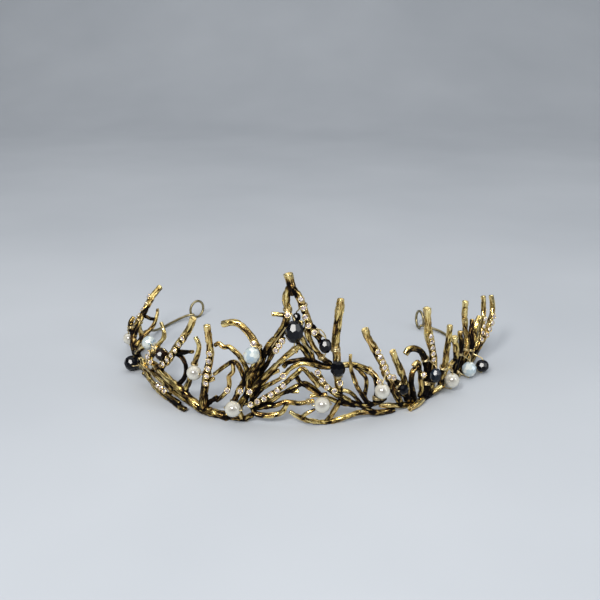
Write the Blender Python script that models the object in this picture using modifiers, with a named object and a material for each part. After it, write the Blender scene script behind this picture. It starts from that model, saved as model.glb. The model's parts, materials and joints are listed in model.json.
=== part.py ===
"""Twig tiara: an open ring of antique gold cast sprigs set with beads and rhinestones.

World frame, metres, +Z up.  The origin is the middle of the tiara's footprint on the resting
plane z = 0, and RING_CENTRE places the ring in it.  The front of the tiara faces -Y, the open
back faces +Y and +X is to the right of the front.
Shapes are placed by (station, height, out): station is the angle in degrees round the ring
from the front, positive to the right; height is mm above the resting plane; out is mm
outside the ring's radius.
"""

import math

import bmesh
import bpy
from mathutils import Matrix, Vector

# ---------------------------------------------------------------- driving dimensions
MM = 0.001
RING_RADIUS = 70.0
RING_CENTRE = (-4.23, 17.59)
GAP = 0.3
TWIG_RESOLUTION = 1
TWIG_STEP = 4.8

END_WIRE_RADIUS = 0.6
EYE_RADIUS = 3.9
EYE_START = 208
EYE_SWEEP = 362
EYE_STEPS = 15

BINDING_RADIUS = 0.24
BORE_RADIUS = 0.55
BINDING_REACH = 0.5

STONE_RADIUS = 1.1
STONE_HEIGHT = 0.9
BED_RADIUS = 0.35

# ---------------------------------------------------------------- materials
MATERIALS = {
    "antique_gold": ((0.45, 0.30, 0.09, 1.0), 1.0, 0.38, 0.0),
    "pale_gold_wire": ((0.72, 0.60, 0.34, 1.0), 1.0, 0.25, 0.0),
    "pearl": ((0.86, 0.83, 0.76, 1.0), 0.0, 0.22, 0.0),
    "opal_glass": ((0.66, 0.80, 0.84, 1.0), 0.0, 0.12, 0.3),
    "black_glass": ((0.010, 0.010, 0.014, 1.0), 0.0, 0.06, 0.0),
    "rhinestone": ((0.92, 0.88, 0.90, 1.0), 0.0, 0.05, 0.5),
}

# ---------------------------------------------------------------- the cast sprigs
# Each twig is (control points from tip to root, tip radius, root radius), in mm.
SPRIGS = {
    "left_end_sprig": [
        # tall shoot leaning back from the end of the ring
        ([(-98.7, 25, -6), (-93.2, 20, -2.8), (-89.7, 15.5, -0.8), (-86, 12, 1), (-81, 8, 2),
          (-74, 4.5, 0.5), (-66, 1.8, -1.8)], 1.35, 1.45),
        # second shoot on its inner side
        ([(-92, 17, -7), (-87, 15.5, -7.5), (-82.5, 12.5, -6), (-79.5, 9.5, -2), (-77, 6.5, 1)],
         0.7, 1.1),
        # bridge between the two shoots
        ([(-90, 15, -1), (-88.5, 14.5, -4), (-86.5, 14.5, -7)], 0.8, 0.8),
        # loop shoot in front
        ([(-53, 26.5, -5.5), (-51, 24.5, -5.5), (-50.5, 21.5, -5), (-52.5, 18, -3.5),
          (-56, 12.5, -2.5), (-61.5, 7, -2), (-66, 2.5, -1.8)], 0.7, 1.2),
        # branch behind the opal
        ([(-62, 16.5, -4), (-66, 12, -2.5), (-71, 7.5, 0), (-75, 4.5, 1.5)], 0.9, 1.0),
        # cast knot on the outside
        ([(-84.5, 16.5, 2), (-84, 14.5, 3), (-83.5, 12, 3), (-83, 9, 2)], 0.9, 1.5),
        # base strand carrying the end wire
        ([(-95, 2.5, 0), (-88, 2, 1), (-80, 1.3, 1), (-72, 1.0, -1), (-65.5, 1.0, -1.8),
          (-62, 1.6, -1)], 1.2, 1.4),
        # strut down from the tall shoot
        ([(-87, 12, 0.5), (-89, 7, 0.5), (-91, 2.5, 0.5)], 1.0, 1.1),
    ],
    "left_wing_sprig": [
        # upper base strand ending in a rounded leaf end
        ([(-59.5, 8.5, -1), (-53, 11, 0), (-46.5, 11.5, 0.5), (-42, 9.5, 0.5), (-37.5, 8, 0.5),
          (-34, 6.5, 0.5), (-30.5, 4, 0.5), (-27, 1.8, 0.5), (-23, 1.5, 0.5), (-18, 1.2, 0.5)],
         1.1, 1.75),
        # lower base strand
        ([(-61, 8, 0), (-58, 5, 0), (-52.5, 2.5, 0), (-48.5, 1.2, 0), (-43, 0.8, 0.4),
          (-37, 0.9, 1.8), (-32, 1.1, 3.2)], 1.1, 1.1),
        # cross twig between the base strands
        ([(-43, 1, 0), (-40.5, 4, 0), (-36.5, 8, 0)], 0.8, 0.8),
        # small rung nearer the end
        ([(-56, 4, 0), (-53, 7, 0), (-49, 11, 0.3)], 0.7, 0.8),
        # thin strand between the base strands
        ([(-57, 5, -0.5), (-52, 7, -0.8), (-46, 7, -0.8), (-40, 5, -0.6), (-34, 2.8, -0.4),
          (-29, 2, 0)], 0.65, 0.8),
        # strand below the middle of the base
        ([(-60, 6.6, 0.8), (-55, 5.4, 1), (-50, 4, 1), (-45, 3, 1), (-40, 2.3, 1.3),
          (-35, 1.9, 2)], 0.75, 0.9),
        # strand under the upper base strand
        ([(-56.5, 7.2, 0.8), (-50, 7.8, 1), (-45, 7, 1), (-40, 5.2, 0.8), (-35, 3.6, 0.8),
          (-31, 2.3, 0.6)], 0.7, 0.85),
        # long diagonal spike
        ([(-28.5, 37.5, 1), (-30, 33.5, 1), (-32, 30, 1), (-35, 25.5, 1), (-38.5, 20.5, 1),
          (-41.5, 16.5, 1), (-46.5, 11.5, 0.5)], 1.2, 1.5),
        # dark side twig
        ([(-30, 24, 0), (-33, 23, 0), (-37.5, 21.5, 0)], 0.7, 1.0),
        # arch down to the base strand
        ([(-38, 21, 0), (-34.5, 20, 0), (-33, 16.5, 0), (-34, 12, 0), (-37, 8, 0)], 0.8, 0.9),
        # thorn behind the pearl
        ([(-28.5, 30, 0), (-27.5, 27.5, 0), (-28, 24, 0), (-29, 20.5, 0), (-31, 14.5, 0),
          (-33, 9, 0), (-34, 6, 0)], 0.75, 1.2),
        # upright spike
        ([(-23.5, 36, 1), (-23, 30, 1), (-23, 24.5, 1), (-24, 18.5, 1), (-24.8, 14, 1),
          (-25.5, 8.5, 1), (-26.5, 2.2, 0.5)], 1.2, 1.6),
        # small knob on the upright spike
        ([(-22.3, 15.5, 0.5), (-23.3, 15, 0.8), (-24.6, 14.5, 1)], 0.8, 0.9),
        # fill behind the foot of the upright spike
        ([(-22, 7.5, -0.5), (-24, 5.5, -0.3), (-27, 2.5, 0)], 0.9, 1.1),
    ],
    "left_centre_sprig": [
        # outer arc, tip beside the upright spike
        ([(-21.3, 29, 0.5), (-20, 30, 0.5), (-18.3, 29, 0.5), (-16.7, 29.3, 0.5), (-15, 28, 0.5),
          (-13, 25.5, 0.5), (-11.7, 22.5, 0.5), (-11.3, 19.5, 0.5), (-12.5, 15.5, 0.5),
          (-15, 10, 0.5), (-16.5, 4.5, 0.3)], 0.8, 1.15),
        # inner arc
        ([(-22.3, 17, -0.5), (-20.5, 19, -0.5), (-18.5, 21, -0.5), (-16.5, 23, -0.5),
          (-15, 23, -0.5), (-14, 21.5, -0.5), (-12.3, 17, 0)], 0.75, 0.85),
        # zigzag twig
        ([(-16.2, 22.8, -0.5), (-16, 19.5, -0.5), (-17.5, 17, -0.5), (-17.5, 14.5, -0.5),
          (-18, 11.5, -0.5), (-20, 8.5, -0.5), (-22, 6.3, -0.5)], 0.75, 0.85),
        # hooked shoot curling over to the left
        ([(-18, 38, 1), (-15.5, 39, 1), (-13, 38.5, 1), (-10.5, 36, 1), (-8.6, 32.5, 1),
          (-7.5, 29, 1), (-8, 25.5, 1), (-9.5, 22, 1), (-10.8, 18, 1), (-11, 13.5, 0.5),
          (-12.5, 9, 0), (-15, 4.5, 0)], 1.2, 1.35),
        # foot strand along the base
        ([(-19.5, 0.9, -0.2), (-17, 0.8, 0), (-15, 0.75, 0), (-12.5, 1.2, 0), (-10.2, 3, 0)],
         1.0, 1.0),
        # foot touching the resting plane
        ([(-13.4, 1.4, 0), (-14.2, 3.5, 0), (-15.5, 6.5, 0)], 0.9, 1.0),
        # low strand towards the centre
        ([(-10, 7.5, 0), (-12.5, 7.5, 0), (-16, 6.5, 0)], 0.8, 0.9),
    ],
    "peak_sprig": [
        # blunt tip of the peak
        ([(1.1, 57.2, 0), (1.7, 54, 0), (2.4, 50.8, 0)], 1.55, 1.5),
        # left leg running down to the lattice
        ([(1.8, 53, 0), (0.7, 51.2, 0), (0.4, 48, 0), (0.8, 44, 0), (0, 39.5, 0), (-1.5, 36, 0),
          (-4, 32, 0), (-6, 28, -0.5), (-7.7, 22.5, -1), (-9, 17, -1), (-9.7, 11, -1)], 1.3, 1.15),
        # side stub
        ([(-3.5, 43, 0), (-1.5, 43, 0), (0.6, 42.5, 0)], 0.75, 0.85),
        # right leg
        ([(2.3, 52.5, 0), (4, 49.6, 0), (5.2, 46, 0), (6.1, 43, 0), (6.8, 40, 0), (8, 37, 0),
          (9.8, 34.3, 0)], 1.3, 1.2),
        # thin outer strand
        ([(6.3, 40.5, 0), (8.2, 38.5, 0), (9.3, 35.5, 0), (10.3, 32, 0)], 0.7, 0.8),
        # long strand down to the right
        ([(6.6, 40.5, -0.4), (6.5, 36, -0.3), (7.7, 32, 0.2), (9.5, 28.5, 0.4), (11.5, 25.5, 0.4),
          (13.2, 24, 0)], 1.05, 0.95),
        # inner strand crossing behind
        ([(1, 37.5, -0.5), (2.7, 34.5, -0.5), (4.3, 31, -0.5), (5.7, 28.5, -0.5),
          (7.2, 25.8, -0.5)], 0.9, 0.85),
        # second inner strand
        ([(4.6, 40, -0.5), (4, 36.5, -0.5), (5.5, 32.5, -0.5), (7.5, 28.5, -0.5),
          (8.3, 25, -0.5)], 0.9, 0.8),
        # inner left strand beside the stones
        ([(1, 41.5, 0.3), (-0.8, 36.5, 0.3), (-2, 33.5, 0), (-3.6, 31, 0), (-5.2, 27.5, -0.5)],
         0.8, 0.8),
        # dark strand behind the left leg
        ([(-0.8, 35.5, -1.3), (-3, 29.5, -1.8), (-5, 24.5, -1.8), (-7.8, 18.5, -1.4)], 0.9, 0.9),
        # bar under the black bead
        ([(-1.5, 36.5, -0.5), (1.5, 36.5, -1), (5, 37.5, -0.5)], 1.0, 1.0),
        # dark arc closing the foot of the peak
        ([(-0.5, 22.8, -1.2), (1, 24.3, -1.2), (4.5, 25.3, -1), (6.5, 25.7, -0.8), (8.5, 24.7, -1),
          (10.5, 23.4, -1), (12.4, 22.4, -1)], 0.9, 0.9),
    ],
    "centre_lattice_sprig": [
        # broad strand rising to the middle
        ([(4, 31.5, 1.5), (1, 28.5, 1.5), (-1.5, 25.5, 1.5), (-4.5, 21.5, 1.5), (-7, 18, 1.2),
          (-9.5, 13.5, 1), (-10, 9, 0.5)], 1.0, 1.15),
        # thin strand under it
        ([(-2, 21.7, 0.3), (-4.5, 20, 0.3), (-6.5, 17, 0.3), (-8.5, 13.5, 0.5)], 0.7, 0.9),
        # third strand
        ([(-0.3, 20.7, 0.5), (-1.5, 18.5, 0.5), (-4.5, 16.3, 0.5), (-7, 14, 0.5),
          (-9.5, 10, 0.5)], 0.7, 0.9),
        # jewelled strand rising to the crest and falling to the right
        ([(9.5, 16, 1.2), (8, 18.5, 1.2), (6.7, 20.8, 1.2), (5, 22.8, 1.2), (3.3, 21, 1.2),
          (1.5, 19, 1.2), (-0.3, 16.8, 1.2), (-2.3, 14.3, 1.2), (-5, 11.8, 1.2), (-8, 9.3, 1),
          (-10.5, 7, 0.5)], 0.8, 1.05),
        # strand to the short stub
        ([(3.7, 13.6, 0), (0.7, 13.4, 0), (-1.5, 12, 0), (-4, 9.5, 0), (-6.5, 7.7, 0),
          (-9, 6.5, 0)], 0.8, 1.0),
        # strand rising over and falling to the right
        ([(10, 12.5, 0), (8, 15.2, 0), (5.7, 16.8, 0), (4, 16, 0), (2.5, 15, 0), (0.5, 13.4, 0)],
         0.8, 0.9),
        # low strand to the pearl
        ([(8.3, 9.5, 0), (4.5, 9.1, 0.3), (2, 9.4, 0.5), (0, 9.3, 0.5), (-3, 8, 0.5),
          (-6, 7.3, 0.5), (-8.5, 6.3, 0.3)], 0.85, 1.0),
        # base strand turned up at its end
        ([(0.6, 8.6, 0), (-0.5, 6, 0), (-2, 4.4, 0), (-5, 3.4, 0), (-7.6, 3.4, 0), (-9.3, 4.2, 0),
          (-10, 7, 0)], 0.9, 1.1),
        # gold arc over the middle
        ([(0.3, 20.8, 0.5), (1.5, 22.7, 0.9), (3.3, 24.2, 1), (5.2, 24.8, 1), (7.5, 24.3, 1),
          (9.7, 23.4, 1), (11.5, 22.9, 1), (12.9, 22.8, 1)], 0.85, 0.75),
        # short strand below the crest
        ([(12, 12.3, 0.5), (10, 12.6, 0.5), (8, 14.2, 0.5), (6, 15.8, 0.5), (4.3, 17.2, 0.5),
          (3, 20.3, 0.8)], 0.75, 0.85),
    ],
    "right_centre_sprig": [
        # tall straight spike
        ([(16, 47.5, 0), (15.6, 43.5, 0), (15.1, 39, 0), (14.7, 33, 0), (14.7, 29, 0),
          (15, 25.5, 0), (15.4, 22, 0), (15.6, 18, 0), (16, 12, 0)], 1.5, 1.3),
        # sharp thorn curving into the base
        ([(19, 27, 1), (19, 24.5, 1), (19.2, 21.5, 1), (20, 18.5, 1), (21.2, 14.5, 1),
          (22.7, 11, 1), (24.3, 8, 0.8), (26, 5.5, 0.5)], 0.55, 1.1),
        # broad arch to the right
        ([(14.7, 22.3, -0.5), (17.5, 22.8, -0.5), (20.5, 22.5, -0.5), (23, 21, -0.5),
          (26, 18.7, -0.5), (28.2, 15.5, -0.5), (28.6, 11, -0.5), (28, 6, 0)], 1.1, 1.2),
        # inner arch
        ([(20.7, 22, -0.5), (22.5, 19.5, -0.5), (24.5, 16.5, -0.5), (25, 13.7, -0.5),
          (24, 9.5, 0)], 0.75, 0.8),
        # jewelled strand from the crest down to the base
        ([(9.2, 22, 1.5), (10.2, 20, 1.5), (11.1, 17.5, 1.5), (12.5, 15, 1.2), (14, 13, 1),
          (16.5, 11, 0.8), (19, 8.5, 0.5)], 0.85, 1.0),
        # second strand from the crest, behind the pearl
        ([(7.5, 20.3, -0.4), (9.4, 17.6, -0.4), (11.6, 15, -0.4), (14, 12.7, -0.3),
          (17, 10, 0), (20, 7.9, 0.3)], 0.8, 0.95),
        # low strand behind the pearl
        ([(7.6, 11.3, -0.8), (10.5, 11, -0.8), (13.5, 9.6, -0.6), (17, 7.6, -0.2),
          (21, 6.4, 0.2)], 0.75, 0.9),
        # upper base strand
        ([(13.3, 13.3, -0.5), (16, 10.8, 0), (19, 8.3, 0.3), (23, 6.2, 0.5), (27.5, 6, 0.5),
          (31, 7, 0.3)], 0.85, 1.1),
        # short twig over the base strand
        ([(16.2, 13.2, 0), (19, 12, 0), (21, 9.7, 0.3), (22.5, 7, 0.5)], 0.75, 0.8),
        # lower base strand
        ([(1.5, 5.3, 0.5), (4.5, 3.2, 0.5), (7.5, 1.6, 0.3), (12.5, 0.75, 0), (17.5, 2, 0),
          (22.5, 3, 0), (27, 2, 0), (31, 1.1, 0), (34.5, 1.1, 0)], 0.85, 1.15),
        # stub crossing the lower strand
        ([(4.8, 3.4, 0.5), (6.5, 5, 0.5), (8.5, 6.3, 0.5)], 0.75, 0.7),
        # tie between the strands
        ([(12.4, 1.2, 0), (14.5, 5, 0), (16.8, 9.8, 0.3)], 0.9, 0.9),
        # tie at the right foot
        ([(22.5, 6.5, 0.5), (24.5, 4.5, 0), (27, 2.6, 0)], 0.8, 0.9),
    ],
    "right_wing_sprig": [
        # jewelled spike leaning to the left
        ([(23.5, 35.5, 0.5), (25, 31.5, 0.5), (26.8, 28, 0.5), (28.5, 24, 0.5), (30, 20.3, 0.5),
          (31.3, 16.5, 0.3), (33, 12.3, 0), (35, 7.5, 0), (37, 3.5, 0)], 1.35, 1.35),
        # dark twig beside it
        ([(30.6, 17.5, 0), (33.5, 14.5, -0.5), (36.5, 11, -0.5), (39, 7, 0)], 0.85, 1.0),
        # plain spike
        ([(33.5, 24.7, 0), (35, 21, 0), (36.8, 16.5, 0), (38.3, 12, 0), (39.3, 8, 0),
          (40, 3.5, 0)], 1.3, 1.35),
        # closed loop twig, left side
        ([(44.2, 15.5, -0.5), (42.2, 14, -0.5), (41.7, 11, -0.5), (42.1, 7.5, -0.5),
          (43, 3, 0)], 1.0, 1.25),
        # closed loop twig, right side
        ([(43.4, 15.5, -0.5), (45.8, 13, -0.5), (46.4, 9.5, -0.5), (46.6, 6, 0), (46, 2.5, 0)],
         0.9, 1.0),
        # hooked head of the loop twig
        ([(42, 17, 0.2), (43.4, 17.9, 0), (44.9, 16.9, -0.3), (45.4, 14.3, -0.5)], 0.75, 0.9),
        # curved branch behind the jewelled spike
        ([(39.5, 22.3, -1), (40.8, 23.5, -1), (44.3, 22.3, -1), (47.3, 19.3, -1), (49.2, 15.5, -1),
          (50, 11, -1), (49.5, 6, -0.5), (48, 2.5, 0)], 1.1, 1.4),
        # second jewelled spike
        ([(46.5, 38, 0.5), (47, 33.5, 0.5), (48.3, 27.5, 0.5), (50, 21.5, 0.5), (51.3, 16, 0.5),
          (51.8, 10, 0.5), (51, 5.5, 0.3), (49.5, 2, 0)], 1.5, 1.5),
        # base strand
        ([(30, 4.2, -0.4), (33, 3.2, -0.2), (36, 2.2, 0), (40, 1.3, 0), (44.5, 0.8, 0),
          (49, 0.9, 0), (53, 1.8, 0)], 0.95, 1.2),
        # low stub in front of the base
        ([(39.3, 1.1, 2.8), (42, 1.2, 2.4), (45, 1.5, 1.5), (47.5, 1.4, 0.5)], 1.1, 1.1),
        # diagonal across the wing
        ([(31.8, 15, 0), (34.5, 10.5, -0.5), (38, 6.5, 0), (42, 2.5, 0)], 0.8, 1.1),
        # right-hand stub of the base
        ([(55, 3.5, 2), (52.5, 2.6, 1.5), (49.5, 1.8, 0.5)], 0.8, 1.0),
    ],
    "right_end_sprig": [
        # flat brown shoot
        ([(55.5, 29, 4), (55.5, 25.5, 3.8), (55, 20.5, 3.8), (54.8, 14.5, 3.4), (55.5, 9, 1.8),
          (57.5, 3, 0.3)], 1.1, 1.3),
        # bud
        ([(64.7, 19.7, 1.3), (64.8, 18.3, 1.5), (65.3, 15.5, 2), (66, 9, 2), (67, 3, 0.8)],
         1.6, 0.8),
        # dark shoot
        ([(68, 21, 2.5), (67.7, 16, 3.3), (67.3, 10, 2.5), (67.5, 3, 1)], 1.1, 1.2),
        # straight round shoot
        ([(77, 30, 2), (77, 25, 2), (76.7, 19, 2.6), (75.3, 12.5, 4), (73.3, 7, 3.2),
          (72, 1.6, 2.2)], 1.2, 1.2),
        # broad double shoot, light half
        ([(82.5, 21.3, 8), (81, 18.5, 7), (79.5, 14.5, 6.4), (77.2, 11, 6), (75.3, 7, 5),
          (74.3, 1.8, 3.6)], 1.1, 1.2),
        # broad double shoot, dark half
        ([(80, 21, 5), (78.8, 17.5, 5), (77.5, 13.5, 5.2), (76, 9.5, 5)], 0.9, 1.0),
        # jewelled shoot
        ([(87, 28.3, 9.5), (86.5, 23.5, 10), (85.5, 19.5, 10), (84, 14.5, 9.4), (81.5, 11, 8.4),
          (79.2, 6.5, 6.6), (78, 1.8, 5)], 1.05, 1.2),
        # outer jewelled shoot
        ([(90, 27.3, 13.5), (89.5, 23.5, 14), (88.5, 20, 14), (87.3, 16.5, 13), (85.2, 13, 11.5),
          (82.5, 9, 9.3), (81, 5, 7.2), (80.5, 1.8, 5.6)], 1.0, 1.2),
        # base strand carrying the end wire
        ([(53.6, 1.9, 0.1), (57, 1.7, 0.2), (61, 1.3, -0.4), (66, 0.9, 0.3), (71, 0.9, 1.8),
          (76, 1.2, 4.2), (82, 2, 6), (88, 2.8, 5.6), (93, 3.2, 4.2)], 1.2, 1.2),
        # brace inside
        ([(57.5, 4, 1), (61.5, 7.5, 0.5), (65.8, 10, 2)], 0.9, 0.9),
    ],
}

# ---------------------------------------------------------------- beads
# name: (station, height, out, radius, half length, reach of the wire behind it, axle, kind)
# The axle is "across" (along the ring), "upright" or "lean" (upright, tipped along the ring).
BEADS = {
    "pearl_left_end": (-86, 5.8, 5.0, 2.7, 2.7, 5.5, "upright", "pearl"),
    "pearl_left_wing": (-27, 18, 4.2, 2.8, 2.8, 6.0, "across", "pearl"),
    "pearl_left_base": (-14.6, 7, 4.8, 3.0, 3.0, 6.4, "across", "pearl"),
    "pearl_centre_base": (10.3, 10.2, 4.8, 2.95, 2.95, 6.4, "across", "pearl"),
    "pearl_right_wing": (27.8, 12.7, 4.8, 2.9, 2.9, 7.0, "upright", "pearl"),
    "pearl_right_end": (58.8, 4.9, 4.4, 3.0, 3.0, 6.4, "upright", "pearl"),
    "opal_left_end": (-57, 17.4, -1.6, 2.8, 2.8, 3.6, "across", "opal"),
    "opal_left_centre": (-8.8, 28.8, 4.6, 2.85, 3.2, 5.4, "lean", "opal"),
    "opal_right_end": (70.6, 4.1, 6.6, 2.95, 3.2, 6.4, "upright", "opal"),
    "black_bead_left_end": (-68.7, 3.6, 3.1, 3.3, 2.9, 6.6, "across", "black"),
    "black_bead_left_wing": (-42.2, 19.7, 2.2, 2.6, 2.4, 3.8, "lean", "black"),
    "black_bead_peak": (2.8, 38.3, 4.6, 3.3, 4.1, 4.2, "upright", "black"),
    "black_bead_peak_upper": (3.3, 41.2, -1.8, 1.6, 1.8, 2.2, "upright", "black"),
    "black_bead_peak_right": (11.3, 32.1, 3.0, 2.3, 2.7, 4.4, "upright", "black"),
    "black_bead_centre_right": (14.5, 23.8, 4.7, 2.75, 2.95, 6.5, "upright", "black"),
    "black_bead_right_wing": (35.7, 10.5, 3.6, 2.1, 2.0, 5.2, "across", "black"),
    "black_bead_right_spike": (48.8, 11.6, 4.2, 2.2, 3.0, 5.8, "upright", "black"),
    "black_bead_right_end": (75.5, 3.45, 10.9, 2.8, 2.6, 6.0, "upright", "black"),
}

# ---------------------------------------------------------------- rows of rhinestones
# name: (points the row passes through, number of stones)
ROWS = {
    "rhinestones_left_end_shoot": ([(-95, 23.7, -2.8), (-91.7, 19.8, -1.8), (-89.2, 17, 0),
                                    (-87, 15, 1.2)], 4),
    "rhinestones_left_end_foot": ([(-48.7, 12.4, 2), (-51.8, 14.6, 1.8), (-49.6, 17.6, 1.8)], 3),
    "rhinestones_left_diagonal": ([(-30.7, 31.3, 3), (-34.3, 25, 3), (-37.5, 20.3, 3),
                                   (-41.8, 15.2, 3)], 6),
    "rhinestones_left_base": ([(-47.2, 4.6, 1.8), (-44.3, 4.6, 1.8), (-41.5, 3.6, 1.8)], 3),
    "rhinestones_left_spike": ([(-21.8, 28, 3.2), (-22.3, 23.5, 3.2), (-23.4, 16.5, 3.2),
                                (-23.9, 12.8, 3.2)], 5),
    "rhinestones_left_centre": ([(-14.4, 13.2, 2.6), (-11.5, 13.6, 2.8), (-8.6, 13.8, 2.9)], 2),
    "rhinestones_peak": ([(4.2, 51, 2.2), (5.3, 46, 2.3), (6, 41.7, 2.3), (7, 38.8, 2.3),
                          (9.2, 35.8, 2.3)], 5),
    "rhinestones_peak_inner": ([(-0.3, 34.6, 1.9), (-1.6, 31.9, 1.8), (-3, 29, 1.6)], 3),
    "rhinestones_centre_strand": ([(-10.8, 8, 3), (-7.2, 10.7, 3.2), (-4.5, 12.8, 3.2),
                                   (-1.9, 15.3, 3.2), (0.4, 18.2, 3.2)], 6),
    "rhinestones_right_strand": ([(8.7, 23.7, 3.2), (10.2, 19.5, 3.3), (12, 16, 3.2),
                                  (15.2, 13.8, 2.8)], 4),
    "rhinestones_right_wing_spike": ([(26.6, 28.5, 2.4), (28.7, 23, 2.4), (30.2, 18.5, 2.3),
                                      (32, 15.3, 2)], 6),
    "rhinestones_right_spike": ([(46.8, 29, 2.4), (48.3, 23, 2.4), (49.6, 16, 2.4)], 5),
    "rhinestones_right_end_inner": ([(84.6, 21.5, 11.4), (83.6, 17, 11.2), (82, 14.2, 10.8),
                                     (80.2, 11.6, 10.4)], 4),
    "rhinestones_right_end_outer": ([(87.5, 21.5, 15.6), (86.7, 18.2, 15), (85.6, 15.5, 14),
                                     (83.2, 12.3, 12.2)], 4),
}

# ---------------------------------------------------------------- end wires
LEFT_WIRE = [(-92, 5.8, 0.5), (-97, 4.4, 0), (-103, 1.8, -0.4), (-109.5, 0.9, -0.7),
             (-114, 1.0, -1.1), (-118.5, 1.4, -1.8), (-121.5, 2.0, -3.0)]
RIGHT_WIRE = [(89, 6.2, 4.8), (94, 5.0, 3.6), (100, 2.4, 2.2), (106, 0.9, 1.2),
              (110.5, 1.0, 0.0), (113.3, 1.4, -2.2), (115.3, 2.0, -4.4)]
LEFT_EYE = (-126.5, 4.42, -5.6)
RIGHT_EYE = (118.6, 4.44, -6.6)
RIGHT_EYE_TWIST = 12.0


def at(station, height, out=0.0):
    """World point in metres of a place given round the ring."""
    reach = RING_RADIUS + out
    turn = math.radians(station)
    return MM * Vector((RING_CENTRE[0] + reach * math.sin(turn),
                        RING_CENTRE[1] - reach * math.cos(turn), height))


def outward(point):
    """Unit vector pointing level out of the ring at a world point."""
    return Vector((point.x - RING_CENTRE[0] * MM, point.y - RING_CENTRE[1] * MM, 0)).normalized()


def along(point):
    """Unit vector along the ring at a world point, towards growing station."""
    out = outward(point)
    return Vector((-out.y, out.x, 0))


def smooth_path(points, step):
    """Points on a rounded curve through the control points, about a step apart."""
    ends = [points[0] * 2 - points[1]] + list(points) + [points[-1] * 2 - points[-2]]
    path = [points[0]]
    shares = [0.0]
    for i in range(len(points) - 1):
        a, b, c, d = ends[i:i + 4]
        pieces = max(1, round((c - b).length / step))
        for j in range(1, pieces + 1):
            t = j / pieces
            path.append(0.5 * (2 * b + (c - a) * t + (2 * a - 5 * b + 4 * c - d) * t ** 2
                               + (3 * b - a - 3 * c + d) * t ** 3))
            shares.append((i + t) / (len(points) - 1))
    return path, shares


def as_mesh(maker):
    """Plain welded mesh object in place of an object that a curve or a modifier shapes."""
    scene = bpy.context.scene.collection
    scene.objects.link(maker)
    graph = bpy.context.evaluated_depsgraph_get()
    graph.update()
    mesh = bpy.data.meshes.new_from_object(maker.evaluated_get(graph), depsgraph=graph)
    name = maker.name
    bpy.data.objects.remove(maker)
    bm = bmesh.new()
    bm.from_mesh(mesh)
    bmesh.ops.remove_doubles(bm, verts=bm.verts, dist=0.000002)
    bmesh.ops.recalc_face_normals(bm, faces=bm.faces)
    bm.to_mesh(mesh)
    bm.free()
    return bpy.data.objects.new(name, mesh)


def tube(name, path, radii, resolution):
    """A closed tube along a path: a bevelled poly curve whose points carry the radii."""
    curve = bpy.data.curves.new(name, "CURVE")
    curve.dimensions = "3D"
    curve.bevel_depth = 1.0
    curve.bevel_resolution = resolution
    curve.use_fill_caps = True
    spline = curve.splines.new("POLY")
    spline.points.add(len(path) - 1)
    for point, place, radius in zip(spline.points, path, radii):
        point.co = (*place, 1.0)
        point.radius = radius
    return as_mesh(bpy.data.objects.new(name, curve))


def twig(name, spec, grow=0.0):
    """One twig of a sprig; its tip is drawn in a little so that it looks rounded."""
    controls, tip, root = spec
    path, shares = smooth_path([at(*c) for c in controls], TWIG_STEP * MM)
    radii = [(tip + (root - tip) * s + grow) * MM for s in shares]
    start = (path[0] - path[1]).normalized()
    path.insert(0, path[0] + start * (0.35 * tip + grow) * MM)
    radii.insert(0, (0.6 * tip + grow) * MM)
    if grow:
        path.append(path[-1] + (path[-1] - path[-2]).normalized() * grow * MM)
        radii.append(radii[-1])
    return tube(name, path, radii, TWIG_RESOLUTION)


def lathe(name, profile, steps):
    """A solid turned about Z from a closed outline of (radius, height) points in mm."""
    mesh = bpy.data.meshes.new(name)
    count = len(profile)
    mesh.from_pydata([(r * MM, 0, h * MM) for r, h in profile],
                     [(i, (i + 1) % count) for i in range(count)], [])
    made = bpy.data.objects.new(name, mesh)
    screw = made.modifiers.new("Turn", "SCREW")
    screw.axis = "Z"
    screw.steps = steps
    screw.render_steps = steps
    screw.use_merge_vertices = True
    screw.merge_threshold = 0.000002
    return as_mesh(made)


def bead_axle(name):
    """Centre and axle direction of a bead."""
    station, height, out, _, _, _, lie, _ = BEADS[name]
    centre = at(station, height, out)
    level = along(centre)
    if lie == "across":
        return centre, level
    if lie == "lean":
        return centre, (Vector((0, 0, 1)) + 0.5 * level).normalized()
    return centre, Vector((0, 0, 1))


def bead_profile(radius, half, arcs, grow=0.0):
    """Outline of a bead from one end of its bore to the other."""
    start = math.asin(min(0.9, BORE_RADIUS / radius))
    points = []
    for i in range(arcs + 1):
        turn = start + (math.pi - 2 * start) * i / arcs
        points.append(((radius + grow) * math.sin(turn), (half + grow) * math.cos(turn)))
    return points


def place_on_axle(obj, name):
    centre, axle = bead_axle(name)
    turn = Vector((0, 0, 1)).rotation_difference(axle).to_matrix().to_4x4()
    obj.matrix_world = Matrix.Translation(centre) @ turn


def bead(name):
    _, _, _, radius, half, _, _, kind = BEADS[name]
    if kind == "pearl":
        return lathe(name, bead_profile(radius, half, 7), 12)
    if kind == "opal":
        return lathe(name, bead_profile(radius, half, 6), 11)
    return lathe(name, bead_profile(radius, half, 5), 10)


def bead_room(name):
    """Solid a little bigger than a bead, which clears its place in the sprigs."""
    _, _, _, radius, half, _, _, _ = BEADS[name]
    profile = bead_profile(radius, half, 6, GAP + 0.2)
    path = [Vector((0, 0, h * MM)) for _, h in profile]
    return tube(name + "_room", path, [r * MM for r, _ in profile], 3)


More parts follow.
